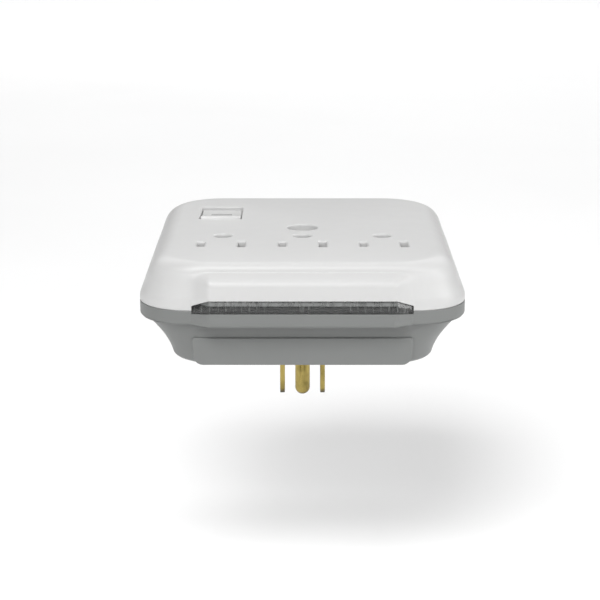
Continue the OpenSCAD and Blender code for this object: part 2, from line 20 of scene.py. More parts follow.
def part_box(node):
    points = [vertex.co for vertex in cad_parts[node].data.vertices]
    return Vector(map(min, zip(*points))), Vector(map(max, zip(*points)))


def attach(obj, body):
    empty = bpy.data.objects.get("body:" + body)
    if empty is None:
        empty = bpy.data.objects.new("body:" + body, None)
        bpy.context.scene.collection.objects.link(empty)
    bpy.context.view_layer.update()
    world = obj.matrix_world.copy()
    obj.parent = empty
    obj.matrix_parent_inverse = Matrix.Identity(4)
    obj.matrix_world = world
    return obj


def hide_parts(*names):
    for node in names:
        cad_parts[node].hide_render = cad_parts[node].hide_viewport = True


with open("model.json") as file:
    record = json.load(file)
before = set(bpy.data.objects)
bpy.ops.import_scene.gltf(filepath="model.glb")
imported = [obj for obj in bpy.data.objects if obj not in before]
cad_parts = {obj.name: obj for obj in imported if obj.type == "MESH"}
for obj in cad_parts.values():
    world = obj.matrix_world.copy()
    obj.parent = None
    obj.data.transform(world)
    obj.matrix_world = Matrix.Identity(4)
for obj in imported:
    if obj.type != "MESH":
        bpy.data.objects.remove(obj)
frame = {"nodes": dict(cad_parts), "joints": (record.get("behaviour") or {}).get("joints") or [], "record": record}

LOG = logging.getLogger("wall_tap")
MM = 0.001
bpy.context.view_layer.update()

SCREW_SEAT = 21.6

Point = tuple[float, float, float]
Colour = tuple[float, float, float]
Outline = list[tuple[float, float]]


class Body(Enum):
    """The rigid bodies that pieces ride on."""

    CASE = "case"
    ROCKER = "rocker"
    SCREW = "screw"


class CutMode(Enum):
    """How one solid acts on another."""

    DIFFERENCE = "DIFFERENCE"
    UNION = "UNION"


# ---- small mathematics ---------------------------------------------------------------------------


def lerp(a: float, b: float, t: float) -> float:
    """Returns the value a share t of the way from a to b."""
    return a + (b - a) * t


def smooth_clamp(t: float, soft: float) -> float:
    """Clamps t to 0..1 with a rounded knee of half-width soft at both ends.

    Args:
        t: Value to clamp.
        soft: Half-width of each rounded knee.

    Returns:
        The clamped value.
    """
    if t <= -soft:
        return 0.0
    if t < soft:
        return (t + soft) ** 2 / (4 * soft)
    if t <= 1 - soft:
        return t
    if t < 1 + soft:
        return 1 - (1 + soft - t) ** 2 / (4 * soft)
    return 1.0


def quarter_inset(z: float, start: float, radius: float) -> float:
    """Returns how far a quarter round that begins at height start has pulled in at height z.

    Args:
        z: The height.
        start: Height at which the quarter round begins.
        radius: Radius of the round.

    Returns:
        The distance pulled in, from 0 to the radius.
    """
    if z <= start:
        return 0.0
    rise = min(z - start, radius)
    return radius - math.sqrt(max(radius * radius - rise * rise, 0.0))


def soft_rise(t: float, soft: float) -> float:
    """Returns t where it is positive and 0 where it is negative, with the bend rounded over soft.

    Args:
        t: The value.
        soft: Half-width of the rounded bend.

    Returns:
        The rounded value.
    """
    if abs(t) < soft:
        return (t + soft) ** 2 / (4 * soft)
    return max(t, 0.0)


def span(first: float, last: float, step: float) -> list[float]:
    """Returns evenly spaced values from first to last, no further apart than step."""
    count = max(1, math.ceil((last - first) / step - 1e-9))
    return [lerp(first, last, i / count) for i in range(count + 1)]


# ---- mesh drafts ---------------------------------------------------------------------------------


class MeshDraft:
    """Collects the vertices and faces of one piece before it becomes an object."""

    def __init__(self, name: str) -> None:
        """Starts an empty draft called name.

        Args:
            name: Name of the object that build makes.
        """
        self.name = name
        self.verts: list[Point] = []
        self.faces: list[tuple[int, ...]] = []

    def ring(self, points: Iterable[Point]) -> list[int]:
        """Adds points and returns their indices.

        Args:
            points: The points, in order.

        Returns:
            Their indices.
        """
        start = len(self.verts)
        self.verts.extend(points)
        return list(range(start, len(self.verts)))

    def bridge(self, low: Sequence[int], high: Sequence[int]) -> None:
        """Joins two closed rings of equal length with quads.

        Args:
            low: The lower ring, anticlockwise seen from its outer end.
            high: The upper ring, in the same order.
        """
        count = len(low)
        for i in range(count):
            j = (i + 1) % count
            self.faces.append((low[i], low[j], high[j], high[i]))

    def cap(self, ring: Sequence[int], flip: bool = False) -> None:
        """Closes a ring with one face, turned over when flip is set."""
        self.faces.append(tuple(reversed(ring)) if flip else tuple(ring))

    def stack(self, rings: Sequence[Sequence[Point]]) -> None:
        """Adds a closed solid through a stack of rings, capped at both ends.

        Args:
            rings: Rings of equal length, from one end to the other.
        """
        indices = [self.ring(points) for points in rings]
        for low, high in zip(indices, indices[1:]):
            self.bridge(low, high)
        self.cap(indices[0], flip=True)
        self.cap(indices[-1])

    def build(self, crease_deg: float = 32.0, placement: Matrix | None = None) -> bpy.types.Object:
        """Makes the object, smooth except along edges sharper than the crease angle.

        Args:
            crease_deg: Edge angle above which the shading breaks.
            placement: A matrix in millimetres applied before the mesh is scaled to metres.

        Returns:
            The linked object, with its place in its mesh.
        """
        mesh = bpy.data.meshes.new(self.name)
        mesh.from_pydata(self.verts, [], self.faces)
        if placement is not None:
            mesh.transform(placement)
        mesh.transform(Matrix.Scale(MM, 4))
        mesh.validate()
        obj = bpy.data.objects.new(self.name, mesh)
        bpy.context.scene.collection.objects.link(obj)
        shade(obj, crease_deg)
        return obj


def shade(obj: bpy.types.Object, crease_deg: float) -> None:
    """Shades obj smooth and marks edges sharper than crease_deg.

    Args:
        obj: The object.
        crease_deg: Edge angle above which the shading breaks.
    """
    mesh = obj.data
    fixer = bmesh.new()
    fixer.from_mesh(mesh)
    bmesh.ops.recalc_face_normals(fixer, faces=fixer.faces)
    fixer.to_mesh(mesh)
    fixer.free()
    mesh.shade_smooth()
    mesh.set_sharp_from_angle(angle=math.radians(crease_deg))


def settle(obj: bpy.types.Object, crease_deg: float = 32.0) -> None:
    """Applies every modifier of obj to its mesh and shades the result.

    Args:
        obj: The object.
        crease_deg: Edge angle above which the shading breaks.
    """
    graph = bpy.context.evaluated_depsgraph_get()
    graph.update()
    mesh = bpy.data.meshes.new_from_object(obj.evaluated_get(graph))
    spent = obj.data
    obj.modifiers.clear()
    obj.data = mesh
    mesh.name = obj.name
    bpy.data.meshes.remove(spent)
    shade(obj, crease_deg)


def combine(obj: bpy.types.Object, tool: bpy.types.Object, mode: CutMode) -> None:
    """Cuts tool from obj, or adds it, and removes the tool.

    Args:
        obj: The piece that is changed.
        tool: A closed solid, which is used up.
        mode: Whether the tool is taken away or joined on.
    """
    modifier = obj.modifiers.new("combine", "BOOLEAN")
    modifier.operation = mode.value
    modifier.solver = "EXACT"
    modifier.object = tool
    settle(obj)
    spent = tool.data
    bpy.data.objects.remove(tool)
    bpy.data.meshes.remove(spent)


def soften(obj: bpy.types.Object, width: float, segments: int = 3, angle_deg: float = 40.0) -> None:
    """Rounds the edges of obj that are sharper than an angle.

    Args:
        obj: The piece to round.
        width: Width of the rounding in millimetres.
        segments: Facets across each rounded edge.
        angle_deg: Only edges sharper than this are rounded.
    """
    modifier = obj.modifiers.new("soften", "BEVEL")
    modifier.width = width * MM
    modifier.segments = segments
    modifier.limit_method = "ANGLE"
    modifier.angle_limit = math.radians(angle_deg)
    modifier.harden_normals = False
    settle(obj)


# ---- outlines ------------------------------------------------------------------------------------


def rounded_outline(hx: float, hy: float, radius: float, steps: int = 6) -> Outline:
    """Returns a rounded rectangle about the origin, anticlockwise.

    Args:
        hx: Half-size along the first axis.
        hy: Half-size along the second axis.
        radius: Corner radius.
        steps: Segments in each corner.

    Returns:
        The points of the closed outline.
    """
    points = []
    for corner, (sx, sy) in enumerate(((1, 1), (-1, 1), (-1, -1), (1, -1))):
        for k in range(steps + 1):
            turn = math.radians(90 * corner + 90 * k / steps)
            points.append((sx * (hx - radius) + radius * math.cos(turn),
                           sy * (hy - radius) + radius * math.sin(turn)))
    return points


def circle_outline(radius: float, steps: int = 64) -> Outline:
    """Returns a circle about the origin, anticlockwise."""
    return [(radius * math.cos(math.tau * k / steps), radius * math.sin(math.tau * k / steps))
            for k in range(steps)]


def prism(draft: MeshDraft, outline: Outline, x: float, y: float, low: float, high: float) -> None:
    """Adds an upright prism.

    Args:
        draft: The draft that takes the prism.
        outline: Its outline about the origin.
        x: Where the outline's origin lies across.
        y: Where the outline's origin lies along.
        low: Height of the lower face.
        high: Height of the upper face.
    """
    draft.stack([[(x + px, y + py, z) for px, py in outline] for z in (low, high)])


def lathe(draft: MeshDraft, profile: Sequence[tuple[float, float]], x: float, y: float,
          steps: int = 64) -> None:
    """Adds a closed solid turned about a vertical axis.

    Args:
        draft: The draft that takes the solid.
        profile: Radius and height pairs from the bottom up.
        x: Axis position across.
        y: Axis position along.
        steps: Facets round the axis.
    """
    least_radius = 0.01
    draft.stack([[(x + px, y + py, z) for px, py in circle_outline(max(radius, least_radius), steps)]
                 for radius, z in profile])


def rim_profile(top: float, rounding: float, steps: int = 5) -> list[tuple[float, float]]:
    """Returns growth and height pairs of a cutter that leaves a rounded rim at height top.

    Args:
        top: Height of the face.
        rounding: Radius of the rim.
        steps: Segments of the rounding.

    Returns:
        The pairs, from the bottom of the rim up.
    """
    last_deg = 80.0
    above = 2.0
    pairs = []
    for k in range(steps + 1):
        turn = math.radians(last_deg * k / steps)
        pairs.append((rounding * (1 - math.cos(turn)), top - rounding * (1 - math.sin(turn))))
    return pairs + [(pairs[-1][0], top + above)]


def flared_cutter(
    draft: MeshDraft,
    outline: Callable[[float], Outline],
    centre: tuple[float, float],
    floor: float,
    top: float,
    rounding: float,
) -> None:
    """Adds a cutter for a hole in the face, with a rounded rim.

    Args:
        draft: The draft that takes the cutter.
        outline: Gives the hole's outline when grown by a distance.
        centre: The hole's centre on the face.
        floor: Height of the hole's floor.
        top: Height of the face.
        rounding: Radius of the rim.
    """
    levels = [(0.0, floor)] + rim_profile(top, rounding)
    draft.stack([[(centre[0] + x, centre[1] + y, z) for x, y in outline(grow)]
                 for grow, z in levels])


# ---- the case ------------------------------------------------------------------------------------


@dataclass(frozen=True)
class CaseForm:
    """Outer form shared by the two shells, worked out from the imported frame."""

    half_width: float
    front: float
    back: float
    top: float
    parting: float
    nose_front: float
    pad_front: float
    side_round: float = 7.4
    side_band: float = 2.2
    side_slope: float = 0.52
    back_round: float = 2.5
    back_slope: float = 0.16
    front_round: float = 3.0
    front_slope: float = 0.22
    band: float = 3.6
    corner: float = 16.0
    corner_shrink: float = 0.27
    wall: float = 2.2
    nose_half: float = 28.0
    nose_root: float = 33.0
    cove_top: float = 13.1
    cove_depth: float = 10.0
    cove_front_depth: float = 2.6
    cove_power: float = 1.64
    lip_step: float = 1.6
    lip_edge: float = 0.6
    base_round: float = 1.4
    base_corner: float = 13.6
    screw_spots: tuple[tuple[float, float], ...] = (
        (-34.0, -13.5), (34.0, -13.5), (-26.0, 60.6), (33.5, 56.5))

    @classmethod
    def from_frame(cls) -> "CaseForm":
        """Reads the driving sizes from the nodes' boxes.

        Returns:
            The form, in millimetres.
        """
        cover_low, cover_high = (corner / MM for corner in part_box("top_cover"))
        _, housing_high = (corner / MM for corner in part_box("bottom_housing"))
        nose_reach = 3.8
        pad_reach = 5.4
        return cls(
            half_width=cover_high.x,
            front=cover_low.y + nose_reach,
            back=cover_high.y,
            top=cover_high.z,
            parting=housing_high.z,
            nose_front=cover_low.y,
            pad_front=cover_low.y + pad_reach,
        )

    def nose_share(self, x: float, soft: float = 0.16) -> float:
        """Returns how fully the nose stands out at a distance x from the middle, from 0 to 1."""
        run = self.nose_root - self.nose_half
        return smooth_clamp((self.nose_root - abs(x)) / run, soft)


@dataclass(frozen=True)
class Level:
    """One level of a shell: its height, insets and the nose's own front point."""

    z: float
    side: float
    back: float
    front: float
    corner: float
    nose_y: float
    nose_z: float


@dataclass
class Shell:
    """A shell lofted through levels, whose front edge swells into the nose."""

    form: CaseForm
    front_steps: int = 132
    side_steps: int = 26
    back_steps: int = 30
    corner_steps: int = 14
    window_gap: float = 0.12
    window_reach: float = -24.5
    overcut: float = 1.0

    def outline(self, level: Level) -> list[Point]:
        """Returns one level's outline, anticlockwise from the front left.

        Args:
            level: The level's sizes.

        Returns:
            The points of the closed outline.
        """
        flat = level.side - level.corner
        points = [(lerp(-flat, flat, k / self.front_steps), level.front, level.z)
                  for k in range(self.front_steps)]
        points = [self._swell(point, level) for point in points]
        points += [self._swell(point, level)
                   for point in self._corner(flat, level.front + level.corner, level, -90)]
        for k in range(1, self.side_steps):
            y = lerp(level.front + level.corner, level.back - level.corner, k / self.side_steps)
            points.append((level.side, y, level.z))
        points += self._corner(flat, level.back - level.corner, level, 0)
        for k in range(1, self.back_steps):
            points.append((lerp(flat, -flat, k / self.back_steps), level.back, level.z))
        points += self._corner(-flat, level.back - level.corner, level, 90)
        for k in range(1, self.side_steps):
            y = lerp(level.back - level.corner, level.front + level.corner, k / self.side_steps)
            points.append((-level.side, y, level.z))
        last = self._corner(-flat, level.front + level.corner, level, 180)[:-1]
        return points + [self._swell(point, level) for point in last]

    def _swell(self, point: Point, level: Level) -> Point:
        """Moves a point of the front edge towards the nose by its share.

        Args:
            point: A point of the level.
            level: The level.

        Returns:
            The moved point.
        """
        x, y, z = point
        share = self.form.nose_share(x)
        return x, lerp(y, level.nose_y, share), lerp(z, level.nose_z, share)

    def _corner(self, cx: float, cy: float, level: Level, start_deg: float) -> list[Point]:
        """Returns the points of one corner arc.

        Args:
            cx: The arc's centre across.
            cy: The arc's centre along.
            level: The level's sizes.
            start_deg: Angle at which the arc begins.

        Returns:
            The points, anticlockwise.
        """
        steps = self.corner_steps
        turns = (math.radians(start_deg + 90 * k / steps) for k in range(steps + 1))
        return [(cx + level.corner * math.cos(t), cy + level.corner * math.sin(t), level.z)
                for t in turns]

    def loft(self, name: str, levels: Sequence[Level]) -> bpy.types.Object:
        """Returns a closed solid through the levels.

        Args:
            name: Name of the object.
            levels: The levels, from the bottom up.

        Returns:
            The solid.
        """
        draft = MeshDraft(name)
        draft.stack([self.outline(level) for level in levels])
        return draft.build()

    def hollow(self, levels: Sequence[Level]) -> bpy.types.Object:
        """Returns the solid that hollows a shell, with fewer points than its outside.

        Args:
            levels: The levels, from the bottom up.

        Returns:
            The cutter.
        """
        plain = Shell(self.form, front_steps=12, side_steps=6, back_steps=6, corner_steps=8)
        return plain.loft("cavity", levels)

    def inner_level(self, outer: Level, z: float) -> Level:
        """Returns the hollow's level inside an outer level, one wall in and without the nose.

        Args:
            outer: The outer level.
            z: The height of the new level.

        Returns:
            The level.
        """
        wall = self.form.wall
        front = outer.front + wall
        return Level(z, outer.side - wall, outer.back - wall, front, outer.corner - wall, front, z)

    def window_cutter(self) -> bpy.types.Object:
        """Returns the prism that opens the indicator window through the front.

        Returns:
            The cutter.
        """
        outline = WindowForm(self.form).front_outline(self.window_gap)
        draft = MeshDraft("window_cutter")
        draft.stack([[(x, y, z) for x, z in outline]
                     for y in (self.window_reach, self.form.nose_front - self.overcut)])
        return draft.build()


@dataclass
class TopCover(Shell):
    """The white upper shell."""

    slot_hx: float = 1.1
    line_slot_hy: float = 3.3
    neutral_slot_hy: float = 4.0
    slot_rim: float = 0.75
    ground_r: float = 2.65
    ground_rim: float = 0.8
    well_r: float = 4.8
    well_rim: float = 0.6
    recess_r: float = 3.9
    recess_top: float = 24.3
    hole_depth: float = 5.0
    slot_corner: float = 0.25
    slot_pitch: float = 12.7
    outlet_pitch: float = 25.4
    opening_hx: float = 6.95
    opening_hy: float = 9.9
    opening_corner: float = 0.8
    opening_rim: float = 0.4
    tube_r: float = 6.2
    tube_low: float = 20.0
    post_r: float = 2.7
    post_low: float = 12.2
    hood_edge: float = 2.4
    hood_shoulder: float = 25.3
    hood_turn_deg: float = 68.0
    hood_arc: float = 1.7
    hood_slope: float = 2.9
    hood_hollow: float = 3.7
    hood_sink: float = 0.35
    hood_rise: float = 1.15
    side_soft: float = 1.0
    back_soft: float = 0.4
    front_soft: float = 0.3
    groove: float = 0.22
    round_steps: int = 96

    def wall_in(self, z: float, band: float, slope: float, radius: float, soft: float) -> float:
        """Returns how far a wall has come in at height z.

        Args:
            z: The height.
            band: Height of the upright band above the parting line.
            slope: Lean of the wall above the band.
            radius: Radius of the rounding at the top.
            soft: Half-height of the rounded crease between band and slope.

        Returns:
            The distance come in.
        """
        start = self.form.top - radius
        rise = soft_rise(min(z, start) - self.form.parting - band, soft)
        return slope * rise + quarter_inset(z, start, radius)

    def side(self, z: float) -> float:
        """Returns the half-width at height z.

        Args:
            z: The height.

        Returns:
            The half-width.
        """
        form = self.form
        return form.half_width - self.wall_in(z, form.side_band, form.side_slope, form.side_round,
                                              self.side_soft)

    def back_at(self, z: float) -> float:
        """Returns the back edge at height z.

        Args:
            z: The height.

        Returns:
            The back edge.
        """
        form = self.form
        return form.back - self.wall_in(z, form.band, form.back_slope, form.back_round,
                                        self.back_soft)

    def front_at(self, z: float) -> float:
        """Returns the front edge at height z, away from the nose.

        Args:
            z: The height.

        Returns:
            The front edge.
        """
        form = self.form
        return form.front + self.wall_in(z, form.band, form.front_slope, form.front_round,
                                         self.front_soft)

    def hood_point(self, z: float) -> tuple[float, float]:
        """Returns the nose's own front point for the level at height z.

        The hood is upright, rounds over at its shoulder, runs back in a shallow slope and joins the
        front face in a small hollow.

        Args:
            z: The level's height.

        Returns:
            The point's Y and Z.
        """
        form = self.form
        shoulder = self.hood_shoulder
        arc_end = shoulder + self.hood_arc
        slope_end = shoulder + self.hood_slope
        hollow_end = shoulder + self.hood_hollow
        edge = self.hood_edge
        turn_deg = self.hood_turn_deg
        tip = (form.nose_front + edge * (1 - math.cos(math.radians(turn_deg))),
               shoulder + edge * math.sin(math.radians(turn_deg)))
        root = (self.front_at(slope_end) - self.hood_sink, tip[1] + self.hood_rise)
        if z <= shoulder:
            return form.nose_front, z
        if z <= arc_end:
            turn = math.radians(turn_deg * (z - shoulder) / (arc_end - shoulder))
            return form.nose_front + edge * (1 - math.cos(turn)), shoulder + edge * math.sin(turn)
        if z <= slope_end:
            t = (z - arc_end) / (slope_end - arc_end)
            return lerp(tip[0], root[0], t), lerp(tip[1], root[1], t)
        if z <= hollow_end:
            t = (z - slope_end) / (hollow_end - slope_end)
            return (lerp(root[0], self.front_at(hollow_end), t ** 0.7),
                    lerp(root[1], hollow_end, t ** 1.3))
        return self.front_at(z), z

    def level(self, z: float, inset: float = 0.0) -> Level:
        """Returns the outer level at height z, pulled in by an inset.

        Args:
            z: The height.
            inset: Distance pulled in all round.

        Returns:
            The level.
        """
        form = self.form
        side = self.side(z)
        nose_y, nose_z = self.hood_point(z)
        corner = form.corner - form.corner_shrink * (form.half_width - side)
        return Level(z, side - inset, self.back_at(z) - inset, self.front_at(z) + inset,
                     corner - inset, nose_y + inset, nose_z)

    def heights(self) -> list[float]:
        """Returns the heights of the outer levels, closest where the form turns.

        Returns:
            The heights, in rising order.
        """
        form = self.form
        arc_start = form.top - form.side_round
        turns = [math.radians(5 * k) for k in range(1, 18)]
        arc = [arc_start + form.side_round * math.sin(t) for t in turns]
        crease = form.parting + form.band
        band = [form.parting + 0.25] + span(form.parting + 1.2, crease - 0.4, 0.25)
        band += [crease - 0.2, crease, crease + 0.2, crease + 0.5, crease + 1.2, crease + 2.0]
        nose = span(self.hood_shoulder - 0.4, self.hood_shoulder + 4.0, 0.2)
        near_nose = (nose[0] - 0.15, nose[-1] + 0.1)
        arc = [z for z in arc if z < near_nose[0] or z > near_nose[1]]
        return sorted(band + nose + arc + [form.top])

    def cavity(self) -> bpy.types.Object:
        """Returns the solid that hollows the cover.

        Returns:
            The cutter.
        """
        form = self.form
        reach = form.top - form.wall - form.parting
        levels = []
        for share in (0.0, 0.25, 0.5, 0.7, 0.82, 0.9, 0.96, 1.0):
            outer = self.level(form.parting + share * (form.top - form.parting))
            levels.append(self.inner_level(outer, form.parting + share * reach))
        below = form.parting - self.overcut
        skirt = replace(levels[0], z=below, nose_z=below)
        return self.hollow([skirt] + levels)

    def holes(self) -> bpy.types.Object:
        """Returns one cutter with every hole of the face.

        Returns:
            The cutter.
        """
        form = self.form
        floor = form.top - self.hole_depth
        draft = MeshDraft("holes")
        ground_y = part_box("ground_pin")[0].lerp(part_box("ground_pin")[1], 0.5).y / MM
        for x in (-self.outlet_pitch, 0.0, self.outlet_pitch):
            for side, half in ((-1, self.line_slot_hy), (1, self.neutral_slot_hy)):
                flared_cutter(
                    draft, lambda grow, h=half: rounded_outline(self.slot_hx + grow, h + grow,
                                                                self.slot_corner + grow),
                    (x + side * self.slot_pitch / 2, 0.0), floor, form.top, self.slot_rim)
            flared_cutter(draft, lambda grow: circle_outline(self.ground_r + grow),
                          (x, ground_y), floor, form.top, self.ground_rim)
        screw = middle_of("mounting_screw")
        flared_cutter(draft, lambda grow: circle_outline(self.well_r + grow, self.round_steps),
                      (screw.x, screw.y), self.recess_top, form.top, self.well_rim)
        lathe(draft, [(self.recess_r, SCREW_SEAT), (self.recess_r, self.recess_top + 0.5)],
              screw.x, screw.y, self.round_steps)
        switch = middle_of("switch_housing")
        flared_cutter(
            draft, lambda grow: rounded_outline(self.opening_hx + grow, self.opening_hy + grow,
                                                self.opening_corner + grow),
            (switch.x, switch.y), floor, form.top, self.opening_rim)
        return draft.build()

    def build(self) -> bpy.types.Object:
        """Builds the cover with its holes, window opening, well and screw posts.

        Returns:
            The cover.
        """
        form = self.form
        outer = [self.level(form.parting, self.groove)] + [self.level(z) for z in self.heights()]
        cover = self.loft("cover_shell", outer)
        combine(cover, self.cavity(), CutMode.DIFFERENCE)
        combine(cover, self.posts(), CutMode.UNION)
        combine(cover, self.window_cutter(), CutMode.DIFFERENCE)
        combine(cover, self.holes(), CutMode.DIFFERENCE)
        return cover

    def posts(self) -> bpy.types.Object:
        """Returns the screw well's tube and the four screw posts as one solid.

        Returns:
            The solid.
        """
        form = self.form
        overlap = 0.3
        roof = form.top - form.wall + overlap
        draft = MeshDraft("posts")
        screw = middle_of("mounting_screw")
        lathe(draft, [(self.tube_r, self.tube_low), (self.tube_r, roof)],
              screw.x, screw.y, self.round_steps)
        for x, y in form.screw_spots:
            lathe(draft, [(self.post_r, self.post_low), (self.post_r, roof)], x, y, 32)
        return draft.build()


@dataclass
class BottomHousing(Shell):
    """The grey lower shell: lip, cove, chin, raised pad and flat foot."""

    chin_low: float = 13.0
    chin_edge: float = 0.9
    chin_root: float = 11.4
    under_lip: float = 0.35
    groove: float = 0.22
    pad_height: float = 8.5
    pad_root: float = -17.0
    pad_low_half: float = 33.0
    pad_high_half: float = 33.4
    pad_low_corner: float = 2.9
    pad_high_corner: float = 0.9
    pad_edge: float = 0.35
    cut_low: float = -1.0
    cut_high: float = 5.0
    blade_opening: tuple[float, float, float] = (0.85, 3.3, 0.3)
    pin_opening_r: float = 3.25
    screw_opening_r: float = 2.1
    spot_r: float = 3.2
    spot_flare: float = 0.2
    label_recess: tuple[float, float, float] = (20.0, 10.0, 1.4)
    label_depth: float = 0.4
    blade_boss: tuple[float, float, float] = (10.5, 5.6, 1.0)
    blade_boss_top: float = 5.0
    spot_boss_r: float = 4.0
    spot_boss_top: float = 12.0
    boss_low: float = 1.5

    def cove(self, z: float) -> float:
        """Returns the cove's share of its full depth at height z."""
        return 1 - min(z / self.form.cove_top, 1.0) ** self.form.cove_power

    def cove_in(self, z: float, depth: float) -> float:
        """Returns how far the housing stands in from its lip at height z.

        Args:
            z: The height.
            depth: How far in the base stands.

        Returns:
            The distance stood in.
        """
        form = self.form
        edge = form.lip_edge
        if z > form.cove_top:
            return quarter_inset(edge - min(z - form.cove_top, edge), 0, edge)
        under_lip = form.lip_step * smooth_clamp((form.cove_top - z) / self.under_lip, 0.25)
        shape = under_lip + (depth - form.lip_step) * self.cove(z)
        foot = quarter_inset(form.base_round - min(z, form.base_round), 0, form.base_round)
        return max(shape, edge) + foot

    def chin_point(self, z: float) -> tuple[float, float]:
        """Returns the chin's own front point for the level at height z.

        Args:
            z: The level's height.

        Returns:
            The point's Y and Z.
        """
        form = self.form
        edge = self.chin_edge
        if z <= self.chin_root:
            return self.front_at(z), z
        if z <= self.chin_low:
            t = (z - self.chin_root) / (self.chin_low - self.chin_root)
            return (lerp(self.front_at(self.chin_root), form.nose_front + edge, t),
                    lerp(self.chin_root, self.chin_low, t ** 0.35))
        if z <= self.chin_low + edge:
            turn = math.acos(1 - (z - self.chin_low) / edge)
            return form.nose_front + edge * (1 - math.sin(turn)), z
        return form.nose_front, z

    def corner_at(self, z: float) -> float:
        """Returns the plan radius of the corners at height z.

        Args:
            z: The height.

        Returns:
            The radius.
        """
        form = self.form
        under_lip = form.corner - form.lip_step
        if z > form.cove_top:
            return form.corner - self.cove_in(z, 0.0)
        foot = quarter_inset(form.base_round - min(z, form.base_round), 0, form.base_round)
        return under_lip - (under_lip - form.base_corner) * self.cove(z) - foot

    def front_at(self, z: float) -> float:
        """Returns the front edge at height z, away from the chin."""
        return self.form.front + self.cove_in(z, self.form.cove_front_depth)

    def level(self, z: float, inset: float = 0.0) -> Level:
        """Returns the outer level at height z, pulled in by an inset.

        Args:
            z: The height.
            inset: Distance pulled in all round.

        Returns:
            The level.
        """
        form = self.form
        side_in = self.cove_in(z, form.cove_depth)
        nose_y, nose_z = self.chin_point(z)
        return Level(
            z,
            form.half_width - side_in - inset,
            form.back - side_in - inset,
            self.front_at(z) + inset,
            self.corner_at(z) - inset,
            nose_y + inset,
            nose_z,
        )

    def heights(self) -> list[float]:
        """Returns the heights of the outer levels, closest where the form turns.

        Returns:
            The heights, in rising order.
        """
        form = self.form
        turns = [1 - math.cos(math.radians(15 * k)) for k in range(7)]
        base = [form.base_round * turn for turn in turns]
        cove = span(form.base_round + 0.6, 10.0, 0.8)
        upper = span(10.25, form.cove_top, 0.15)
        edge = [form.cove_top + form.lip_edge * turn for turn in turns[1:]]
        lip = [form.cove_top + form.lip_edge + 1.0, form.parting - 1.0, form.parting - 0.25]
        return base + cove + upper + edge + lip

    def cavity(self) -> bpy.types.Object:
        """Returns the solid that hollows the housing.

        Returns:
            The cutter.
        """
        form = self.form
        upright = 15.0
        heights = (form.wall, 4.0, 7.0, 9.5, 11.5, 13.4, upright, form.parting + self.overcut)
        return self.hollow([self.inner_level(self.level(min(z, upright)), z) for z in heights])

    def pad(self) -> bpy.types.Object:
        """Returns the raised pad under the chin, with rounded corners and a rounded front edge.

        Returns:
            The solid.
        """
        edge, steps = self.pad_edge, 5
        rings = [[(x, self.pad_root, z) for x, z in self.pad_outline(0.0)]]
        for k in range(steps + 1):
            turn = math.radians(90 * k / steps)
            y = self.form.pad_front + edge * (1 - math.sin(turn))
            rings.append([(x, y, z) for x, z in self.pad_outline(edge * (1 - math.cos(turn)))])
        draft = MeshDraft("pad")
        draft.stack(rings)
        return draft.build()

    def pad_outline(self, inset: float) -> Outline:
        """Returns the pad's outline as seen from the front.

        Args:
            inset: Distance pulled in all round.

        Returns:
            The closed outline in X and Z, from the upper right.
        """
        high = (self.pad_height, self.pad_high_half, self.pad_high_corner)
        low = (0.0, self.pad_low_half, self.pad_low_corner)
        least_radius, steps = 0.2, 6
        points = []
        corners = ((1, high), (-1, high), (-1, low), (1, low))
        for corner, (sign, (z, half, radius)) in enumerate(corners):
            r = max(radius - inset, least_radius)
            cx = sign * (half - inset - r)
            cz = z - inset - r if z > 0 else inset + r
            for k in range(steps + 1):
                turn = math.radians(90 * corner + 90 * k / steps)
                points.append((cx + r * math.cos(turn), cz + r * math.sin(turn)))
        return points

    def openings(self) -> bpy.types.Object:
        """Returns one cutter with the openings of the underside.

        Returns:
            The cutter.
        """
        draft = MeshDraft("openings")
        low, high = self.cut_low, self.cut_high
        for name in ("line_blade", "neutral_blade"):
            prism(draft, rounded_outline(*self.blade_opening), middle_of(name).x, 0.0, low, high)
        for name, radius in (("ground_pin", self.pin_opening_r),
                             ("mounting_screw", self.screw_opening_r)):
            centre = middle_of(name)
            lathe(draft, [(radius, low), (radius, high)], centre.x, centre.y)
        flared_r = self.spot_r + self.spot_flare
        for x, y in self.form.screw_spots:
            lathe(draft, [(flared_r, low), (flared_r, 0.0), (self.spot_r, self.spot_flare),
                          (self.spot_r, high)], x, y)
        label = middle_of("rating_label")
        prism(draft, rounded_outline(*self.label_recess), label.x, label.y, low, self.label_depth)
        return draft.build()

    def bosses(self) -> bpy.types.Object:
        """Returns the solid bosses that carry the blades, pin and screws inside.

        Returns:
            The solid.
        """
        draft = MeshDraft("bosses")
        prism(draft, rounded_outline(*self.blade_boss), 0.0, 0.0, self.boss_low, self.blade_boss_top)
        for x, y in self.form.screw_spots:
            lathe(draft, [(self.spot_boss_r, self.boss_low), (self.spot_boss_r, self.spot_boss_top)],
                  x, y, 32)
        return draft.build()

    def build(self) -> bpy.types.Object:
        """Builds the housing with its pad, hollow, bosses and openings.

        Returns:
            The housing.
        """
        form = self.form
        outer = [self.level(z) for z in self.heights()] + [self.level(form.parting, self.groove)]
        housing = self.loft("housing_shell", outer)
        combine(housing, self.pad(), CutMode.UNION)
        combine(housing, self.cavity(), CutMode.DIFFERENCE)
        combine(housing, self.bosses(), CutMode.UNION)
        combine(housing, self.window_cutter(), CutMode.DIFFERENCE)
        combine(housing, self.openings(), CutMode.DIFFERENCE)
        return housing


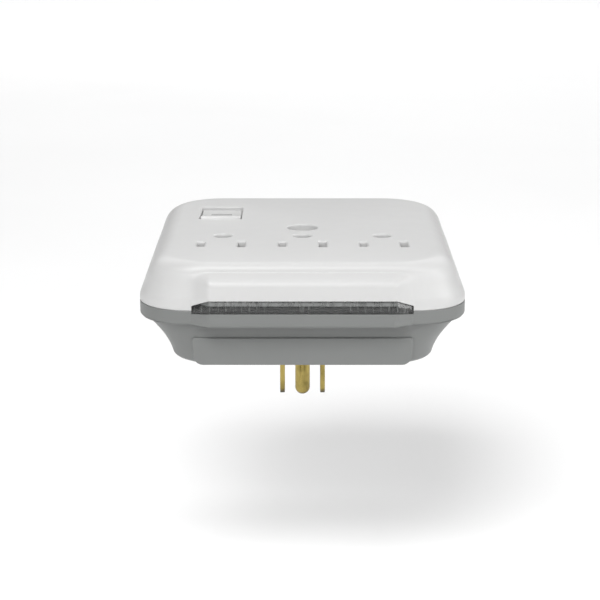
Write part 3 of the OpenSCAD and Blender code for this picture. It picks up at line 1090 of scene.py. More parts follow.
@dataclass(frozen=True)
class WindowForm:
    """Outline of the indicator window as seen from the front."""

    form: CaseForm
    rise: float = 3.8
    end_half: float = 33.1
    end_rise: float = 1.4
    end_drop: float = 0.9

    def end_share(self, x: float) -> float:
        """Returns how far x lies along the narrowing end, from 0 to 1."""
        run = max(0.0, abs(x) - self.form.nose_half) / (self.end_half - self.form.nose_half)
        return min(run, 1.0)

    def top(self, x: float) -> float:
        """Returns the height of the window's upper edge at x."""
        return self.form.parting + lerp(self.rise, self.end_rise, self.end_share(x))

    def bottom(self, x: float) -> float:
        """Returns the height of the window's lower edge at x."""
        return self.form.parting - self.end_drop * self.end_share(x)

    def front_outline(self, grow: float) -> Outline:
        """Returns the outline in X and Z, grown by a clearance.

        Args:
            grow: The clearance.

        Returns:
            The closed outline, from the lower left.
        """
        half, end = self.form.nose_half, self.end_half
        xs = (-(end + grow), -half, half, end + grow)
        upper = [(x, self.top(x) + grow) for x in reversed(xs)]
        lower = [(x, self.bottom(x) - grow) for x in xs]
        return lower + upper


@dataclass
class IndicatorWindow:
    """The clear strip along the nose, with an upper and a lower facet."""

    form: CaseForm
    thickness: float = 1.7
    facet_share: float = 0.56
    lean: float = 0.55
    column: float = 0.4
    sunk: float = 0.08

    def front_y(self, x: float) -> float:
        """Returns the window's front face at x."""
        return lerp(self.form.front, self.form.nose_front, self.form.nose_share(x)) + self.sunk

    def build(self) -> bpy.types.Object:
        """Builds the window as one closed strip.

        Returns:
            The window.
        """
        window = WindowForm(self.form)
        columns = span(-window.end_half, window.end_half, self.column)
        draft = MeshDraft("window_strip")
        rings = []
        for x in columns:
            low, high = window.bottom(x), window.top(x)
            knee = lerp(low, high, self.facet_share)
            y = self.front_y(x)
            lean = self.lean * (high - low) / window.rise
            back = y + self.thickness
            # The small offsets take the sharpness off the section's edges.
            rings.append([
                (x, y + 0.15, low), (x, back, low), (x, back, high), (x, y + lean + 0.1, high),
                (x, y + lean, high - 0.12), (x, y + 0.05, knee + 0.1), (x, y, knee - 0.12),
                (x, y, low + 0.2),
            ])
        draft.stack(rings)
        return draft.build(crease_deg=24.0)


@dataclass
class WindowRibs:
    """Upright ribs behind both ends of the window and the pale light post between them."""

    window: IndicatorWindow
    pitch: float = 2.3
    left_run: tuple[float, float] = (-32.0, -9.6)
    right_run: tuple[float, float] = (14.2, 32.0)
    half_width: float = 0.2
    half_depth: float = 0.24
    post_x: float = -0.2
    post_half_width: float = 0.75
    arm_gap: float = 2.1
    arm_half_width: float = 0.25
    foot_gap: float = 0.25
    post_foot_gap: float = 0.2
    top_gap: float = 0.3

    def bar(self, draft: MeshDraft, x: float, half_width: float, low: float, high: float) -> None:
        """Adds one upright bar with a softened top.

        Args:
            draft: The mesh being built.
            x: The bar's middle.
            half_width: Half of its width.
            low: Height of its foot.
            high: Height of its top.
        """
        gap, corner, pulled, softened = 0.02, 0.05, 0.04, 0.08
        y = self.window.front_y(x) + self.window.thickness + self.half_depth + gap
        levels = ((pulled, low), (0.0, low + softened), (0.0, high - softened), (pulled, high))
        draft.stack([[(x + px, y + py, z) for px, py in
                      rounded_outline(half_width - pull, self.half_depth - pull, corner)]
                     for pull, z in levels])

    def ribs(self) -> bpy.types.Object:
        """Builds the ribs behind the two ends of the lower facet.

        Returns:
            The ribs as one piece.
        """
        window = WindowForm(self.window.form)
        draft = MeshDraft("window_ribs")
        for start, stop in (self.left_run, self.right_run):
            for k in range(int((stop - start) / self.pitch) + 1):
                x = start + k * self.pitch
                low, high = window.bottom(x), window.top(x)
                knee = lerp(low, high, self.window.facet_share)
                self.bar(draft, x, self.half_width, low + self.foot_gap,
                         min(knee + 0.1, high - self.top_gap))
        return draft.build()

    def post(self) -> bpy.types.Object:
        """Builds the pale post, with its thin arm, that carries the light to the window's middle.

        Returns:
            The post as one piece.
        """
        window = WindowForm(self.window.form)
        draft = MeshDraft("light_post")
        for x, half in ((self.post_x, self.post_half_width),
                        (self.post_x + self.arm_gap, self.arm_half_width)):
            self.bar(draft, x, half, window.bottom(x) + self.post_foot_gap,
                     window.top(x) - self.top_gap)
        return draft.build()


# ---- rocker, plug and screw ----------------------------------------------------------------------


def middle_of(node: str) -> Vector:
    """Returns the middle of a node's box in millimetres."""
    low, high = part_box(node)
    return (low + high) / (2 * MM)


@dataclass
class Rocker:
    """The rocker of the mains switch, lying as it rests with its far end pressed."""

    half_x: float = 6.7
    half_y: float = 9.5
    end_z: float = 3.9
    middle_z: float = 3.1
    skirt_z: float = -1.6
    skirt_in: float = 0.25
    edge: float = 0.35
    sweep_r: float = 9.68
    valley_half: float = 0.9
    travel_deg: float = 11.0

    def pivot(self) -> Vector:
        """Returns the pivot's place, in millimetres, from the rocker's joint."""
        joint = next(j for j in frame["joints"] if j["name"] == "rocker_tilt")
        return Vector(joint["pos_m"]) / MM

    def placement(self) -> Matrix:
        """Returns the matrix from the rocker's own frame to its rest place, in millimetres."""
        turn = Matrix.Rotation(math.radians(-self.travel_deg / 2), 4, "X")
        return Matrix.Translation(self.pivot()) @ turn

    def build(self) -> bpy.types.Object:
        """Builds the rocker's body: two shallow facets, rounded ends and softened edges.

        Returns:
            The rocker at its rest place.
        """
        profile = [(-self.half_y + self.skirt_in, self.skirt_z)]
        for z in span(-0.4, self.end_z, 0.6):
            profile.append((-min(self.half_y, math.sqrt(self.sweep_r ** 2 - z * z)), z))
        valley = span(-1.0, 1.0, 0.25)
        bend = self.valley_half
        slope = (self.end_z - self.middle_z) / self.half_y
        for y in valley:
            away = abs(y) if abs(y) > bend else 0.5 * (y * y / bend + bend)
            profile.append((y, self.middle_z + slope * away))
        profile += [(-y, z) for y, z in reversed(profile[:-len(valley)])]
        draft = MeshDraft("rocker_body")
        outline = list(reversed(profile))
        draft.stack([[(x, y, z) for y, z in outline] for x in (-self.half_x, self.half_x)])
        body = draft.build(placement=self.placement())
        soften(body, self.edge, 4, 38.0)
        return body

    def grips(self) -> bpy.types.Object:
        """Builds the short raised grip bars across the rocker's hollow.

        Returns:
            The bars as one piece.
        """
        bars, pitch, half_len, half_w = 3, 1.25, 3.5, 0.32
        corner, root, rise, softened = 0.16, 0.2, 0.3, 0.12
        top = self.middle_z + rise
        levels = ((0.0, self.middle_z - root), (0.0, top - softened), (softened, top))
        draft = MeshDraft("rocker_grips")
        for k in range(bars):
            y = (k - (bars - 1) / 2) * pitch
            draft.stack([[(px, y + py, z)
                          for px, py in rounded_outline(half_len - pull, half_w - pull, corner)]
                         for pull, z in levels])
        return draft.build(placement=self.placement())


@dataclass
class PlugBlade:
    """One flat blade with a chamfered tip, softened edges and the usual locating hole."""

    node: str
    width: float = 6.35
    hole_r: float = 1.6
    hole_up: float = 8.7
    chamfer: float = 1.5
    shoulder_half: float = 4.4
    shoulder_low: float = 5.0
    shoulder_high: float = 6.6
    edge: float = 0.28

    def build(self) -> bpy.types.Object:
        """Builds the blade from its root in the housing to its tip.

        Returns:
            The blade.
        """
        low, high = (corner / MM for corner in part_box(self.node))
        x0, x1 = low.x, high.x
        wide = self.shoulder_half
        half, cut = self.width / 2, self.chamfer
        outline = [(-half, high.z), (-half, low.z + cut), (-half + cut, low.z), (half - cut, low.z),
                   (half, low.z + cut), (half, high.z)]
        draft = MeshDraft(self.node + "_blank")
        draft.stack([[(x, y, z) for y, z in outline] for x in (x0, x1)])
        blade = draft.build()
        drill = MeshDraft("drill")
        hole_z = low.z + self.hole_up
        drill.stack([[(x, y, hole_z + z) for y, z in circle_outline(self.hole_r, 48)]
                     for x in (x0 - 1, x1 + 1)])
        combine(blade, drill.build(), CutMode.DIFFERENCE)
        shoulders = MeshDraft("shoulders")
        prism(shoulders, [(x0, -wide), (x1, -wide), (x1, wide), (x0, wide)], 0.0, 0.0,
              self.shoulder_low, self.shoulder_high)
        combine(blade, shoulders.build(), CutMode.UNION)
        soften(blade, self.edge, 3, 35.0)
        return blade


@dataclass
class GroundPin:
    """The round ground pin with its domed end and collar."""

    radius: float = 2.4
    collar_r: float = 3.2
    collar_top: float = 10.0
    collar_edge: float = 0.15
    flange_r: float = 4.4
    flange_low: float = 6.0
    flange_high: float = 7.2

    def build(self) -> bpy.types.Object:
        """Builds the pin as one turned solid.

        Returns:
            The pin.
        """
        low, _ = (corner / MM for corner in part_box("ground_pin"))
        centre = middle_of("ground_pin")
        dome_z = low.z + self.radius
        turns = [math.radians(a) for a in range(0, 91, 6)]
        profile = [(self.radius * math.sin(t), dome_z - self.radius * math.cos(t)) for t in turns]
        profile += [(self.radius, -0.02), (self.collar_r - self.collar_edge, 0.0),
                    (self.collar_r, self.collar_edge), (self.collar_r, self.flange_low),
                    (self.flange_r, self.flange_low), (self.flange_r, self.flange_high),
                    (self.collar_r, self.flange_high), (self.collar_r, self.collar_top)]
        draft = MeshDraft("ground_pin_turned")
        lathe(draft, profile, centre.x, centre.y, 96)
        return draft.build()


@dataclass
class MountingScrew:
    """The captive screw: slotted dome head, reduced shank and a threaded end."""

    head_r: float = 3.6
    shank_r: float = 1.5
    thread_r: float = 1.75
    thread_depth: float = 0.32
    pitch: float = 0.794
    point: float = 1.2
    dome: float = 0.9
    head_edge: float = 0.15
    slot_half: float = 4.5
    slot_half_width: float = 0.5
    slot_corner: float = 0.1
    slot_depth: float = 1.2
    around: int = 40

    def thread(self, draft: MeshDraft, x: float, y: float, low: float, high: float) -> None:
        """Adds the threaded end as one solid with a helical ridge.

        Args:
            draft: The draft that takes the thread.
            x: Axis position across.
            y: Axis position along.
            low: Height of the screw's point.
            high: Height where the thread ends.
        """
        blunt = 0.35
        rings = []
        for z in span(low, high, self.pitch / 8):
            taper = min(1.0, blunt + (1 - blunt) * (z - low) / self.point)
            ring = []
            for k in range(self.around):
                turn = math.tau * k / self.around
                phase = (z / self.pitch - k / self.around) % 1.0
                ridge = 1 - 2 * abs(phase - 0.5)
                radius = taper * (self.thread_r - self.thread_depth * (1 - ridge))
                ring.append((x + radius * math.cos(turn), y + radius * math.sin(turn), z))
            rings.append(ring)
        draft.stack(rings)

    def build(self) -> bpy.types.Object:
        """Builds the screw in its fully driven place.

        Returns:
            The screw.
        """
        low, high = (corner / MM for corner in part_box("mounting_screw"))
        centre = middle_of("mounting_screw")
        shoulder = high.z - self.dome
        turns = [math.radians(a) for a in range(10, 90, 10)]
        profile = [(self.shank_r, -0.05), (self.shank_r, SCREW_SEAT),
                   (self.head_r - self.head_edge, SCREW_SEAT),
                   (self.head_r, SCREW_SEAT + self.head_edge), (self.head_r, shoulder)]
        profile += [(self.head_r * math.cos(t), shoulder + self.dome * math.sin(t)) for t in turns]
        profile.append((0.05, high.z))
        draft = MeshDraft("screw_turned")
        lathe(draft, profile, centre.x, centre.y, 72)
        screw = draft.build()
        slot = MeshDraft("slot")
        prism(slot, rounded_outline(self.slot_half, self.slot_half_width, self.slot_corner),
              centre.x, centre.y, high.z - self.slot_depth, high.z + 1)
        combine(screw, slot.build(), CutMode.DIFFERENCE)
        thread = MeshDraft("thread")
        self.thread(thread, centre.x, centre.y, low.z, 0.0)
        combine(screw, thread.build(), CutMode.UNION)
        return screw


# ---- finishes ------------------------------------------------------------------------------------


class Weaver:
    """Lays out a material's nodes with short calls."""

    def __init__(self, name: str) -> None:
        """Starts a material called name with an empty tree.

        Args:
            name: Name of the material.
        """
        self.material = bpy.data.materials.new(name)
        self.material.use_nodes = True
        self.tree = self.material.node_tree
        self.tree.nodes.clear()
        self.output = self.tree.nodes.new("ShaderNodeOutputMaterial")
        self.shader = self.tree.nodes.new("ShaderNodeBsdfPrincipled")
        self.tree.links.new(self.shader.outputs["BSDF"], self.output.inputs["Surface"])
        self.place = self.tree.nodes.new("ShaderNodeTexCoord").outputs["Object"]

    def set(self, **sockets: float) -> None:
        """Sets the shader's sockets; underscores stand for spaces in their names.

        Args:
            **sockets: A number for each socket.
        """
        for name, value in sockets.items():
            self.shader.inputs[name.replace("_", " ")].default_value = value

    def stretched(self, scale: Point) -> bpy.types.NodeSocket:
        """Returns object coordinates scaled along each axis.

        Args:
            scale: Factor along each axis.

        Returns:
            The coordinates, as a node socket.
        """
        node = self.tree.nodes.new("ShaderNodeMapping")
        node.inputs["Scale"].default_value = scale
        self.tree.links.new(self.place, node.inputs["Vector"])
        return node.outputs["Vector"]

    def noise(self, scale: float, detail: float = 3.0,
              vector: bpy.types.NodeSocket | None = None) -> bpy.types.NodeSocket:
        """Returns a noise value over the surface.

        Args:
            scale: Grains per metre.
            detail: Octaves.
            vector: Coordinates to use in place of the object's.

        Returns:
            The value, as a node socket.
        """
        node = self.tree.nodes.new("ShaderNodeTexNoise")
        node.inputs["Scale"].default_value = scale
        node.inputs["Detail"].default_value = detail
        self.tree.links.new(vector or self.place, node.inputs["Vector"])
        return node.outputs["Fac"]

    def ramp(self, value: bpy.types.NodeSocket,
             stops: Sequence[tuple[float, Colour]]) -> bpy.types.NodeSocket:
        """Returns the colour that a value picks from a ramp.

        Args:
            value: The value that picks.
            stops: Positions and colours, in rising order.

        Returns:
            The colour, as a node socket.
        """
        node = self.tree.nodes.new("ShaderNodeValToRGB")
        ramp = node.color_ramp
        while len(ramp.elements) < len(stops):
            ramp.elements.new(0.5)
        for element, (position, colour) in zip(ramp.elements, stops):
            element.position = position
            element.color = (*colour, 1.0)
        self.tree.links.new(value, node.inputs["Fac"])
        return node.outputs["Color"]

    def remap(self, value: bpy.types.NodeSocket, source: tuple[float, float],
              target: tuple[float, float]) -> bpy.types.NodeSocket:
        """Returns a value moved from one range to another.

        Args:
            value: The value.
            source: The range it comes in.
            target: The range it leaves in.

        Returns:
            The value, as a node socket.
        """
        node = self.tree.nodes.new("ShaderNodeMapRange")
        for name, number in zip(("From Min", "From Max", "To Min", "To Max"), (*source, *target)):
            node.inputs[name].default_value = number
        self.tree.links.new(value, node.inputs["Value"])
        return node.outputs["Result"]

    def blend(self, share: bpy.types.NodeSocket, a: bpy.types.NodeSocket | Colour,
              b: bpy.types.NodeSocket | Colour) -> bpy.types.NodeSocket:
        """Returns colour a moved towards colour b by a share.

        Args:
            share: How far to move, from 0 to 1.
            a: The first colour or socket.
            b: The second colour or socket.

        Returns:
            The colour, as a node socket.
        """
        node = self.tree.nodes.new("ShaderNodeMix")
        node.data_type = "RGBA"
        self.tree.links.new(share, node.inputs["Factor"])
        for socket, colour in ((node.inputs[6], a), (node.inputs[7], b)):
            if isinstance(colour, tuple):
                socket.default_value = (*colour, 1.0)
            else:
                self.tree.links.new(colour, socket)
        return node.outputs[2]

    def height(self) -> bpy.types.NodeSocket:
        """Returns the surface's height above the wall, in metres.

        Returns:
            The value, as a node socket.
        """
        node = self.tree.nodes.new("ShaderNodeSeparateXYZ")
        self.tree.links.new(self.place, node.inputs["Vector"])
        return node.outputs["Z"]

    def wire(self, value: bpy.types.NodeSocket, socket: str) -> None:
        """Feeds a value to one of the shader's sockets."""
        self.tree.links.new(value, self.shader.inputs[socket])

    def bump(self, layers: Sequence[tuple[bpy.types.NodeSocket, float, float]]) -> None:
        """Stacks bump layers, each a value, a strength and a depth in metres.

        Args:
            layers: The layers, in the order they are stacked.
        """
        normal = None
        for value, strength, depth in layers:
            node = self.tree.nodes.new("ShaderNodeBump")
            node.inputs["Strength"].default_value = strength
            node.inputs["Distance"].default_value = depth
            self.tree.links.new(value, node.inputs["Height"])
            if normal is not None:
                self.tree.links.new(normal, node.inputs["Normal"])
            normal = node.outputs["Normal"]
        self.tree.links.new(normal, self.shader.inputs["Normal"])


@dataclass(frozen=True)
class MouldedPlastic:
    """Injection-moulded plastic: a spark-eroded grain, faint flow mottling and uneven gloss."""

    name: str
    colour: Colour
    shade: Colour
    gloss: tuple[float, float] = (0.28, 0.36)
    grain: float = 2600.0
    grain_strength: float = 0.05
    specular: float = 0.5

    def material(self) -> bpy.types.Material:
        """Returns the finish as a material.

        Returns:
            The material.
        """
        weave = Weaver(self.name)
        weave.set(Specular_IOR_Level=self.specular)
        flow = weave.noise(38.0, 4.0)
        weave.wire(weave.ramp(flow, ((0.32, self.shade), (0.68, self.colour))), "Base Color")
        weave.wire(weave.remap(weave.noise(160.0, 5.0), (0.3, 0.7), self.gloss), "Roughness")
        weave.bump(((weave.noise(self.grain, 2.0), self.grain_strength, 0.0002),
                    (weave.noise(60.0, 2.0), 0.003, 0.0004)))
        return weave.material


@dataclass(frozen=True)
class DrawnBrass:
    """Brass strip: drawing lines along its length, tarnish, and painted shade that darkens the tip."""

    name: str = "drawn_brass"
    bright: Colour = (0.40, 0.315, 0.10)
    tarnish: Colour = (0.085, 0.066, 0.022)
    # Colour of the painted shade at the tip.
    tip: Colour = (0.055, 0.045, 0.03)
    tip_end: float = -0.0158
    tip_length: float = 0.0016

    def material(self) -> bpy.types.Material:
        """Returns the finish as a material.

        Returns:
            The material.
        """
        weave = Weaver(self.name)
        weave.set(Metallic=1.0)
        lines = weave.noise(900.0, 3.0, weave.stretched((1.0, 1.0, 0.04)))
        patches = weave.noise(210.0, 4.0)
        stain = weave.remap(patches, (0.42, 0.75), (0.0, 0.75))
        metal = weave.blend(stain, self.bright, self.tarnish)
        # Painted shade: the colour darkens over the last tip_length above tip_end, where the tip turns away from
        # the light.
        tip_shade_share = weave.remap(weave.height(), (self.tip_end + self.tip_length, self.tip_end),
                           (0.0, 1.0))
        weave.wire(weave.blend(tip_shade_share, metal, self.tip), "Base Color")
        weave.wire(weave.remap(lines, (0.3, 0.7), (0.20, 0.42)), "Roughness")
        weave.bump(((lines, 0.12, 0.0001),))
        return weave.material


@dataclass(frozen=True)
class PlatedSteel:
    """Zinc-plated or bright steel with turning marks."""

    name: str
    bright: Colour = (0.62, 0.63, 0.65)
    dull: Colour = (0.36, 0.37, 0.39)
    gloss: tuple[float, float] = (0.22, 0.42)

    def material(self) -> bpy.types.Material:
        """Returns the finish as a material.

        Returns:
            The material.
        """
        weave = Weaver(self.name)
        weave.set(Metallic=1.0)
        rings = weave.noise(1400.0, 3.0, weave.stretched((0.15, 0.15, 1.0)))
        weave.wire(weave.ramp(weave.noise(320.0, 4.0), ((0.35, self.dull), (0.65, self.bright))),
                   "Base Color")
        weave.wire(weave.remap(rings, (0.3, 0.7), self.gloss), "Roughness")
        weave.bump(((rings, 0.1, 0.0001),))
        return weave.material


@dataclass(frozen=True)
class ClearWindow:
    """Clear smoked plastic with a frosted upper facet and fine mould streaks."""

    name: str = "clear_window"
    tint: Colour = (0.31, 0.32, 0.315)
    frost: Colour = (0.29, 0.30, 0.295)
    knee: float = 0.0197
    frost_share: float = 0.62

    def material(self) -> bpy.types.Material:
        """Returns the finish as a material.

        Returns:
            The material.
        """
        weave = Weaver(self.name)
        weave.set(IOR=1.49)
        streaks = weave.noise(420.0, 4.0, weave.stretched((1.0, 0.3, 0.12)))
        above = weave.remap(weave.height(), (self.knee - 0.0002, self.knee + 0.0002), (0.0, 1.0))
        weave.wire(weave.blend(above, self.tint, self.frost), "Base Color")
        uneven = weave.remap(streaks, (0.3, 0.7), (0.35, 1.0))
        maths = weave.tree.nodes.new("ShaderNodeMath")
        maths.operation = "MULTIPLY"
        weave.tree.links.new(above, maths.inputs[0])
        weave.tree.links.new(uneven, maths.inputs[1])
        weave.wire(weave.remap(maths.outputs[0], (0.0, 1.0), (0.92, 1.0 - self.frost_share)),
                   "Transmission Weight")
        weave.wire(weave.remap(maths.outputs[0], (0.0, 1.0), (0.06, 0.38)), "Roughness")
        weave.bump(((streaks, 0.15, 0.0002),))
        return weave.material


@dataclass(frozen=True)
class Lacquer:
    """A glossy dipped or moulded coat over a small component."""

    name: str
    colour: Colour
    shade: Colour
    roughness: float

    def material(self) -> bpy.types.Material:
        """Returns the finish as a material.

        Returns:
            The material.
        """
        weave = Weaver(self.name)
        weave.wire(weave.ramp(weave.noise(500.0, 3.0), ((0.3, self.shade), (0.7, self.colour))),
                   "Base Color")
        weave.wire(weave.remap(weave.noise(900.0, 2.0), (0.3, 0.7),
                               (self.roughness, self.roughness + 0.12)), "Roughness")
        weave.bump(((weave.noise(350.0, 2.0), 0.15, 0.0003),))
        return weave.material


@dataclass(frozen=True)
class SolderMask:
    """Green circuit board with paler copper tracks showing through the mask."""

    name: str = "solder_mask"
    mask: Colour = (0.015, 0.12, 0.045)
    track: Colour = (0.03, 0.2, 0.075)

    def material(self) -> bpy.types.Material:
        """Returns the finish as a material.

        Returns:
            The material.
        """
        weave = Weaver(self.name)
        node = weave.tree.nodes.new("ShaderNodeTexBrick")
        node.inputs["Scale"].default_value = 180.0
        node.inputs["Mortar Size"].default_value = 0.03
        node.inputs["Color1"].default_value = (*self.mask, 1.0)
        node.inputs["Color2"].default_value = (*self.mask, 1.0)
        node.inputs["Mortar"].default_value = (*self.track, 1.0)
        weave.tree.links.new(weave.place, node.inputs["Vector"])
        weave.wire(node.outputs["Color"], "Base Color")
        weave.wire(weave.remap(weave.noise(700.0), (0.3, 0.7), (0.25, 0.45)), "Roughness")
        weave.bump(((weave.noise(1500.0), 0.1, 0.0001),))
        return weave.material


class Wardrobe:
    """Every finish of the object, made once and handed out by slot."""

    def __init__(self) -> None:
        """Makes the materials, keyed by the record's material slots."""
        white = MouldedPlastic("white_moulding", (0.565, 0.565, 0.562), (0.556, 0.556, 0.553),
                               gloss=(0.36, 0.42), grain=3600.0, grain_strength=0.003, specular=0.4)
        rocker = MouldedPlastic("rocker_moulding", (0.575, 0.575, 0.572), (0.562, 0.562, 0.559),
                                gloss=(0.3, 0.36), grain_strength=0.003)
        grey = MouldedPlastic("grey_moulding", (0.182, 0.188, 0.184), (0.174, 0.18, 0.176),
                              gloss=(0.4, 0.48), grain=2400.0, grain_strength=0.012)
        black = MouldedPlastic("black_moulding", (0.02, 0.02, 0.021), (0.012, 0.012, 0.013),
                               gloss=(0.4, 0.55))
        spring = PlatedSteel("spring_steel", (0.45, 0.45, 0.47), (0.25, 0.25, 0.27))
        self.by_slot: dict[str, bpy.types.Material] = {
            "white_plastic": white.material(),
            "rocker_plastic": rocker.material(),
            "grey_plastic": grey.material(),
            "black_plastic": black.material(),
            "smoked_window": ClearWindow().material(),
            # The blades' tips take painted shade from the brass finish.
            "brass": DrawnBrass(tip_end=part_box("line_blade")[0].z + 0.0003).material(),
            "zinc_steel": PlatedSteel("zinc_plate").material(),
            "spring_steel": spring.material(),
            "circuit_board": SolderMask().material(),
        }
        coats = (
            ("varistor_coating", "varistor_coat", (0.02, 0.06, 0.30), (0.01, 0.035, 0.2), 0.3),
            ("capacitor_case", "capacitor_case", (0.62, 0.42, 0.05), (0.5, 0.33, 0.04), 0.3),
            ("fuse_body", "fuse_ceramic", (0.6, 0.57, 0.5), (0.5, 0.48, 0.42), 0.3),
            ("resistor_body", "resistor_lacquer", (0.55, 0.42, 0.24), (0.42, 0.31, 0.17), 0.3),
            ("green_light", "green_epoxy", (0.5, 0.85, 0.55), (0.35, 0.75, 0.42), 0.08),
            ("amber_light", "amber_epoxy", (0.95, 0.62, 0.2), (0.85, 0.48, 0.1), 0.08),
            ("black_wire", "black_insulation", (0.015, 0.015, 0.015), (0.03, 0.03, 0.03), 0.4),
            ("white_wire", "white_insulation", (0.7, 0.7, 0.68), (0.6, 0.6, 0.58), 0.4),
            ("green_wire", "green_insulation", (0.02, 0.2, 0.05), (0.015, 0.14, 0.03), 0.4),
            ("red_wire", "red_insulation", (0.4, 0.02, 0.015), (0.28, 0.012, 0.01), 0.4),
            ("blank_label", "label_film", (0.62, 0.62, 0.6), (0.55, 0.55, 0.53), 0.3),
        )
        for slot, name, colour, shade_colour, roughness in coats:
            self.by_slot[slot] = Lacquer(name, colour, shade_colour, roughness).material()
        # The pin's domed end takes the same painted shade over a shorter stretch.
        self.pin_brass = DrawnBrass("pin_brass", tip_end=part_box("ground_pin")[0].z + 0.0002,
                                    tip_length=0.0008).material()
        self.rib_plastic, self.post_plastic, self.grip_paint = (
            MouldedPlastic(name, colour, shade_colour).material() for name, colour, shade_colour in (
                ("rib_plastic", (0.85, 0.86, 0.85), (0.8, 0.81, 0.8)),
                ("post_plastic", (0.92, 0.92, 0.91), (0.88, 0.88, 0.87)),
                ("grip_paint", (0.40, 0.40, 0.40), (0.32, 0.32, 0.32))))

    def dress(self, obj: bpy.types.Object, slot: str,
              material: bpy.types.Material | None = None) -> None:
        """Gives a new piece the finish of its slot, or the finish given in its place.

        Args:
            obj: The piece.
            slot: The record's material slot.
            material: A finish to use in place of the slot's own.
        """
        obj.data.materials.clear()
        obj.data.materials.append(material or self.by_slot[slot])

    def dress_nodes(self) -> None:
        """Gives every node of the frame the finish of its slot."""
        for entry in frame["record"]["subparts"]:
            obj = frame["nodes"][entry["node"]]
            material = self.by_slot[entry["material_slot"]]
            if obj.material_slots:
                for slot in obj.material_slots:
                    slot.material = material
            else:
                obj.data.materials.append(material)


# ---- studio --------------------------------------------------------------------------------------


@dataclass(frozen=True)
class Camera:
    """The camera's place and lens, in millimetres and degrees; the shift is a share of the frame."""

    back: float = 539.8
    height: float = 155.1
    pitch_deg: float = 14.71
    lens: float = 106.38
    shift_x: float = -1 / 240
    sensor: float = 36.0

    def build(self) -> bpy.types.Object:
        """Places the camera and makes it the scene's.

        Returns:
            The camera.
        """
        data = bpy.data.cameras.new("camera")
        data.sensor_width = self.sensor
        data.lens = self.lens
        data.shift_x = self.shift_x
        data.clip_start = 0.01
        obj = bpy.data.objects.new("camera", data)
        obj.location = (0.0, -self.back * MM, self.height * MM)
        obj.rotation_euler = (math.radians(90 - self.pitch_deg), 0.0, 0.0)
        bpy.context.scene.collection.objects.link(obj)
        bpy.context.scene.camera = obj
        return obj


@dataclass(frozen=True)
class SoftBox:
    """One rectangular studio light."""

    name: str
    place: Point
    aim: Point
    size: tuple[float, float]
    watts: float

    def build(self) -> bpy.types.Object:
        """Places the light, facing its aim.

        Returns:
            The light.
        """
        data = bpy.data.lights.new(self.name, "AREA")
        data.shape = "RECTANGLE"
        data.size, data.size_y = self.size
        data.energy = self.watts
        obj = bpy.data.objects.new(self.name, data)
        obj.location = self.place
        direction = Vector(self.aim) - Vector(self.place)
        obj.rotation_euler = direction.to_track_quat("-Z", "Y").to_euler()
        bpy.context.scene.collection.objects.link(obj)
        return obj


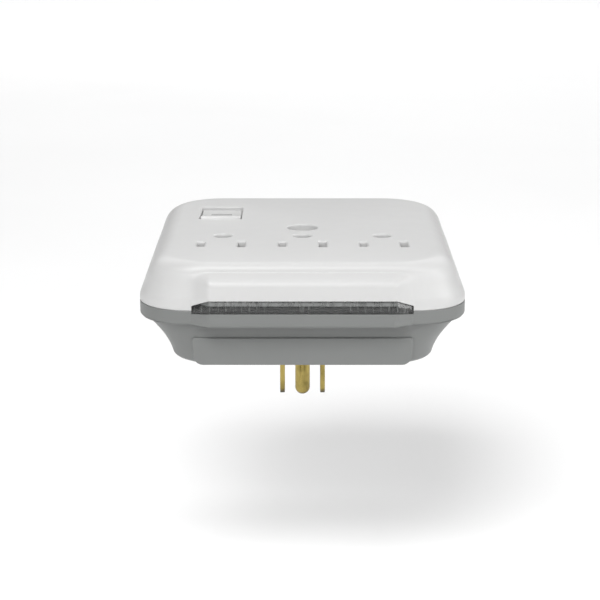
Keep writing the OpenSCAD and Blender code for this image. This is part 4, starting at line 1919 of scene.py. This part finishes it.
@dataclass
class Studio:
    """Pale floor, soft lights, white surroundings and the camera."""

    floor_z: float = -0.075
    floor_half: float = 3.0
    world_strength: float = 0.075
    lights: list[SoftBox] = field(default_factory=lambda: [
        SoftBox("front_key", (-0.33, -0.84, 1.08), (0.0, 0.0, 0.0), (0.7, 0.7), 14.6),
        SoftBox("left_fill", (-0.82, -0.69, 0.9), (0.0, 0.0, 0.0), (0.7, 0.7), 2.0),
        SoftBox("right_fill", (0.82, -0.69, 0.9), (0.0, 0.0, 0.0), (0.7, 0.7), 3.9),
        SoftBox("right_side", (1.3, -0.2, 0.42), (0.0, 0.0, 0.0), (0.5, 0.8), 6.8),
        SoftBox("overhead", (0.0, 0.42, 1.33), (0.0, 0.0, 0.0), (0.8, 0.35), 3.2),
        SoftBox("backdrop", (0.0, 1.9, 1.1), (0.0, 1.85, -0.07), (3.0, 1.8), 30.0),
        SoftBox("front_floor", (0.0, -2.3, 1.0), (0.0, -2.35, -0.07), (3.0, 1.2), 20.0),
    ])

    def floor(self) -> bpy.types.Object:
        """Builds the floor with a faintly uneven matt paper finish.

        Returns:
            The floor.
        """
        draft = MeshDraft("studio_floor")
        half = self.floor_half / MM
        z = self.floor_z / MM
        ring = draft.ring([(-half, -half, z), (half, -half, z), (half, half, z), (-half, half, z)])
        draft.cap(ring)
        floor = draft.build()
        weave = Weaver("paper_floor")
        greys = ((0.3, (0.93, 0.93, 0.93)), (0.7, (0.96, 0.96, 0.96)))
        weave.wire(weave.ramp(weave.noise(3.0, 3.0), greys), "Base Color")
        weave.set(Roughness=0.9, Specular_IOR_Level=0.1)
        floor.data.materials.append(weave.material)
        return floor

    def build(self) -> None:
        """Sets up the whole studio."""
        scene = bpy.context.scene
        world = bpy.data.worlds.new("studio_world")
        world.use_nodes = True
        world.node_tree.nodes["Background"].inputs["Color"].default_value = (1.0, 1.0, 1.0, 1.0)
        world.node_tree.nodes["Background"].inputs["Strength"].default_value = self.world_strength
        scene.world = world
        scene.view_settings.view_transform = "Standard"
        for light in self.lights:
            light.build()
        self.floor()
        Camera().build()


# ---- assembly ------------------------------------------------------------------------------------


def seat(piece: bpy.types.Object, body: Body, node: str | None, slot: str, wardrobe: Wardrobe,
         material: bpy.types.Material | None = None) -> None:
    """Dresses a piece, rides it on its body and hides the node it stands for.

    Args:
        piece: The new piece.
        body: The body it moves with.
        node: The node it replaces, or None for an added detail.
        slot: The record's material slot.
        wardrobe: The finishes.
        material: A finish to use in place of the slot's own.
    """
    wardrobe.dress(piece, slot, material)
    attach(piece, body.value)
    if node is not None:
        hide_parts(node)
    LOG.info("%s: %d vertices, rides on %s", piece.name, len(piece.data.vertices), body.value)


def main() -> None:
    """Builds the studio and every piece."""
    logging.basicConfig(level=logging.INFO, format="%(name)s: %(message)s")
    Studio().build()
    wardrobe = Wardrobe()
    wardrobe.dress_nodes()
    form = CaseForm.from_frame()
    seat(TopCover(form).build(), Body.CASE, "top_cover", "white_plastic", wardrobe)
    seat(BottomHousing(form).build(), Body.CASE, "bottom_housing", "grey_plastic", wardrobe)
    window = IndicatorWindow(form)
    seat(window.build(), Body.CASE, "indicator_lens", "smoked_window", wardrobe)
    ribs = WindowRibs(window)
    seat(ribs.ribs(), Body.CASE, None, "smoked_window", wardrobe, wardrobe.rib_plastic)
    seat(ribs.post(), Body.CASE, None, "smoked_window", wardrobe, wardrobe.post_plastic)
    for node in ("line_blade", "neutral_blade"):
        seat(PlugBlade(node).build(), Body.CASE, node, "brass", wardrobe)
    seat(GroundPin().build(), Body.CASE, "ground_pin", "brass", wardrobe, wardrobe.pin_brass)
    rocker = Rocker()
    seat(rocker.build(), Body.ROCKER, "switch_rocker", "rocker_plastic", wardrobe)
    seat(rocker.grips(), Body.ROCKER, None, "rocker_plastic", wardrobe, wardrobe.grip_paint)
    seat(MountingScrew().build(), Body.SCREW, "mounting_screw", "zinc_steel", wardrobe)


if __name__ == "__main__":
    main()
